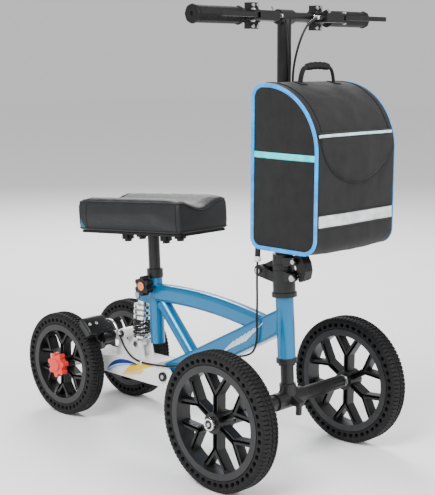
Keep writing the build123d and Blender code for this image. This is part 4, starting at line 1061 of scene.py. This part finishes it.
def brake_details():
    """Moulded cover, rubber lining and screws of each brake shoe, and the springs on its cross tube."""
    grid = 12
    steps = [math.sin(math.pi / 2 * k / grid) for k in range(-grid, grid + 1)]
    squareness = 8
    outward = (math.cos(math.radians(SHOE_ANGLE)), 0, math.sin(math.radians(SHOE_ANGLE)))
    edge = ((-1, 142), (-1, 136.6), (-0.94, 135.8), (-0.5, 135.6), (0, 135.6), (0.5, 135.6),
            (0.94, 135.8), (1, 136.6), (1, 142))
    coil_radius, coil_turns, coil_steps = 11, 5, 120
    steel = MATERIALS["steel"]
    for side, sign in (("left", 1), ("right", -1)):
        body = f"{side}_brake_arm"
        points = []
        for u in steps:
            for v in steps:
                rise = ((1 - abs(u) ** squareness) * (1 - abs(v) ** squareness)) ** (1 / squareness)
                crown = 1.6 * (1 - v * v)
                points.append(shoe_at(147 + 14 * rise + crown * rise, SHOE_ANGLE + 9.2 * u,
                                      sign * (96 + 35.4 * v)))
        mesh_piece(f"brake_cover_{side}", points, grid_faces(2 * grid + 1, 2 * grid + 1),
                   MATERIALS["black_plastic"], body, "black_metal", thick=0.0006)
        points = []
        for v in (-1, -0.97, -0.6, -0.2, 0.2, 0.6, 0.97, 1):
            half = 19.4 - 0.6 * (abs(v) == 1)
            points += [shoe_at(radius, SHOE_ANGLE + 9.0 * u, sign * (112 + half * v)) for u, radius in edge]
        mesh_piece(f"brake_lining_{side}", points, grid_faces(8, len(edge)), MATERIALS["grip_rubber"], body,
                   "black_metal", thick=0.0012)
        for y in (100, 121):
            lathe(f"brake_screw_{side}_{y}",
                  [(0.5, 1.2), (1.9, 1.2), (2.1, 2.6), (3.6, 2.4), (4.1, 1.4), (4.2, -1)],
                  shoe_at(161.6, SHOE_ANGLE, sign * y), outward, steel, body, "steel", turns=20)
        coil = []
        for step in range(coil_steps + 1):
            turn = math.tau * coil_turns * step / coil_steps
            coil.append(at(BRAKE_PIN[0] + coil_radius * math.cos(turn),
                           sign * (32 + 15 * step / coil_steps),
                           BRAKE_PIN[1] + coil_radius * math.sin(turn)))
        coil += [at(-531, sign * 48, 221), at(-527, sign * 49, 233)]
        tube(f"brake_spring_{side}", coil, 0.0013, steel, "swing_arm", "steel", sides=8)


def fittings():
    """Pivot caps, the seat knob's disc and the front hubs' rings, caps and bolts."""
    black, steel = MATERIALS["black_plastic"], MATERIALS["steel"]
    for side, sign in (("left", 1), ("right", -1)):
        out = (0, sign, 0)
        head = at(-370, sign * 43.5, 137)
        lathe(f"pivot_ring_{side}",
              [(6.4, -0.5), (6.4, 1.2), (7, 1.8), (10.4, 1.8), (11.3, 1), (11.5, -5.6)],
              head, out, black, "frame", "black_metal")
        lathe(f"pivot_cap_{side}", [(0.5, 1.5), (4.2, 1.4), (5.8, 0.7), (6.3, -0.4)],
              head, out, steel, "frame", "steel", turns=32)
    lathe("seat_knob_disc", [(0.5, 1.2), (7, 1.1), (10.2, 0.7), (11, 0), (10.8, -1.5)],
          at(-437.8, -50, 355), (0, -1, 0), ORANGE, "seat_knob", "red_plastic")
    for side, sign in (("left", 1), ("right", -1)):
        out = (0, sign, 0)
        hub = at(0, sign * 246.6, FRONT_RADIUS)
        lathe(f"front_hub_ring_{side}",
              [(9.6, 0), (9.6, 10.6), (10.4, 11.4), (13.2, 11.2), (14, 10.2), (14.2, 0)],
              hub, out, MATERIALS["chrome"], "steering", "chrome")
        lathe(f"front_hub_cap_{side}",
              [(0.5, 10.2), (5.4, 10.2), (5.8, 9.6), (9.3, 9.6), (9.5, 8), (9.5, 0.5)],
              hub, out, black, "steering", "black_metal")
        lathe(f"front_hub_bolt_{side}", [(0.4, 12.2), (3.8, 12.2), (4.6, 11.4), (4.8, 9)],
              hub, out, steel, "steering", "steel", turns=24)


# ---------------------------------------------------------------- inks, cloth and wheel materials
BAG_CLOTH = woven("bag_weave", (0.0085, 0.0085, 0.009), 0.9)
BAG_TRIM = woven("bag_trim", (0.004, 0.004, 0.004), 0.85)
BINDING = woven("bag_binding_cloth", (0.012, 0.30, 0.82), 0.55, 1300)
CYAN_TAPE = woven("bag_cyan_tape", (0.01, 0.74, 0.92), 0.6, 1300)
PALE_TAPE = woven("bag_pale_tape", (0.55, 0.80, 0.92), 0.6, 1300)
REFLECTOR = woven("bag_reflector_tape", (0.66, 0.67, 0.69), 0.35, 2200)
THREAD = rubber("sewing_thread", (0.035, 0.035, 0.037), 0.8, 2500)
PAD_THREAD = rubber("pad_thread", (0.05, 0.05, 0.052), 0.7, 2500)
PAD_VINYL = leather("pad_leather", (0.011, 0.0115, 0.013))
PAD_TRIM = leather("pad_piping", (0.004, 0.004, 0.0045), False)
WHITE_TAPE = plastic("white_nylon", (0.8, 0.8, 0.8), 0.4)
NAVY_INK = paint("navy_ink", (0.012, 0.03, 0.22), 0.0, 0.3, 0.5)
PALE_INK = paint("pale_ink", (0.30, 0.50, 0.78), 0.0, 0.3, 0.5)
YELLOW_INK = paint("yellow_ink", (0.85, 0.52, 0.03), 0.0, 0.3, 0.5)
WHITE_INK = paint("white_ink", (0.75, 0.85, 0.88), 0.0, 0.3, 0.5)
ORANGE = plastic("orange_plastic", (0.85, 0.22, 0.06), 0.35, 800, 0.00003)
RIM_FRONT = wheel_plastic("front_rim_plastic", 0, FRONT_RADIUS, 108)
RIM_REAR = wheel_plastic("rear_rim_plastic", REAR_AXLE_X, REAR_RADIUS, 88)


def finish_cad_nodes():
    """Give each CAD node the material of its slot in the record."""
    for entry in frame["record"]["subparts"]:
        node = NODES[entry["node"]]
        material = MATERIALS[entry["material_slot"]]
        if entry["node"].startswith("front_") and entry["node"].endswith("_rim"):
            material = RIM_FRONT
        if entry["node"].startswith("rear_") and entry["node"].endswith("_rim"):
            material = RIM_REAR
        node.data.materials.clear()
        node.data.materials.append(material)


make_stage()
finish_cad_nodes()
tyres()
bag()
knee_pad()
cables()
spring()
grips()
graphics()
brake_details()
fittings()
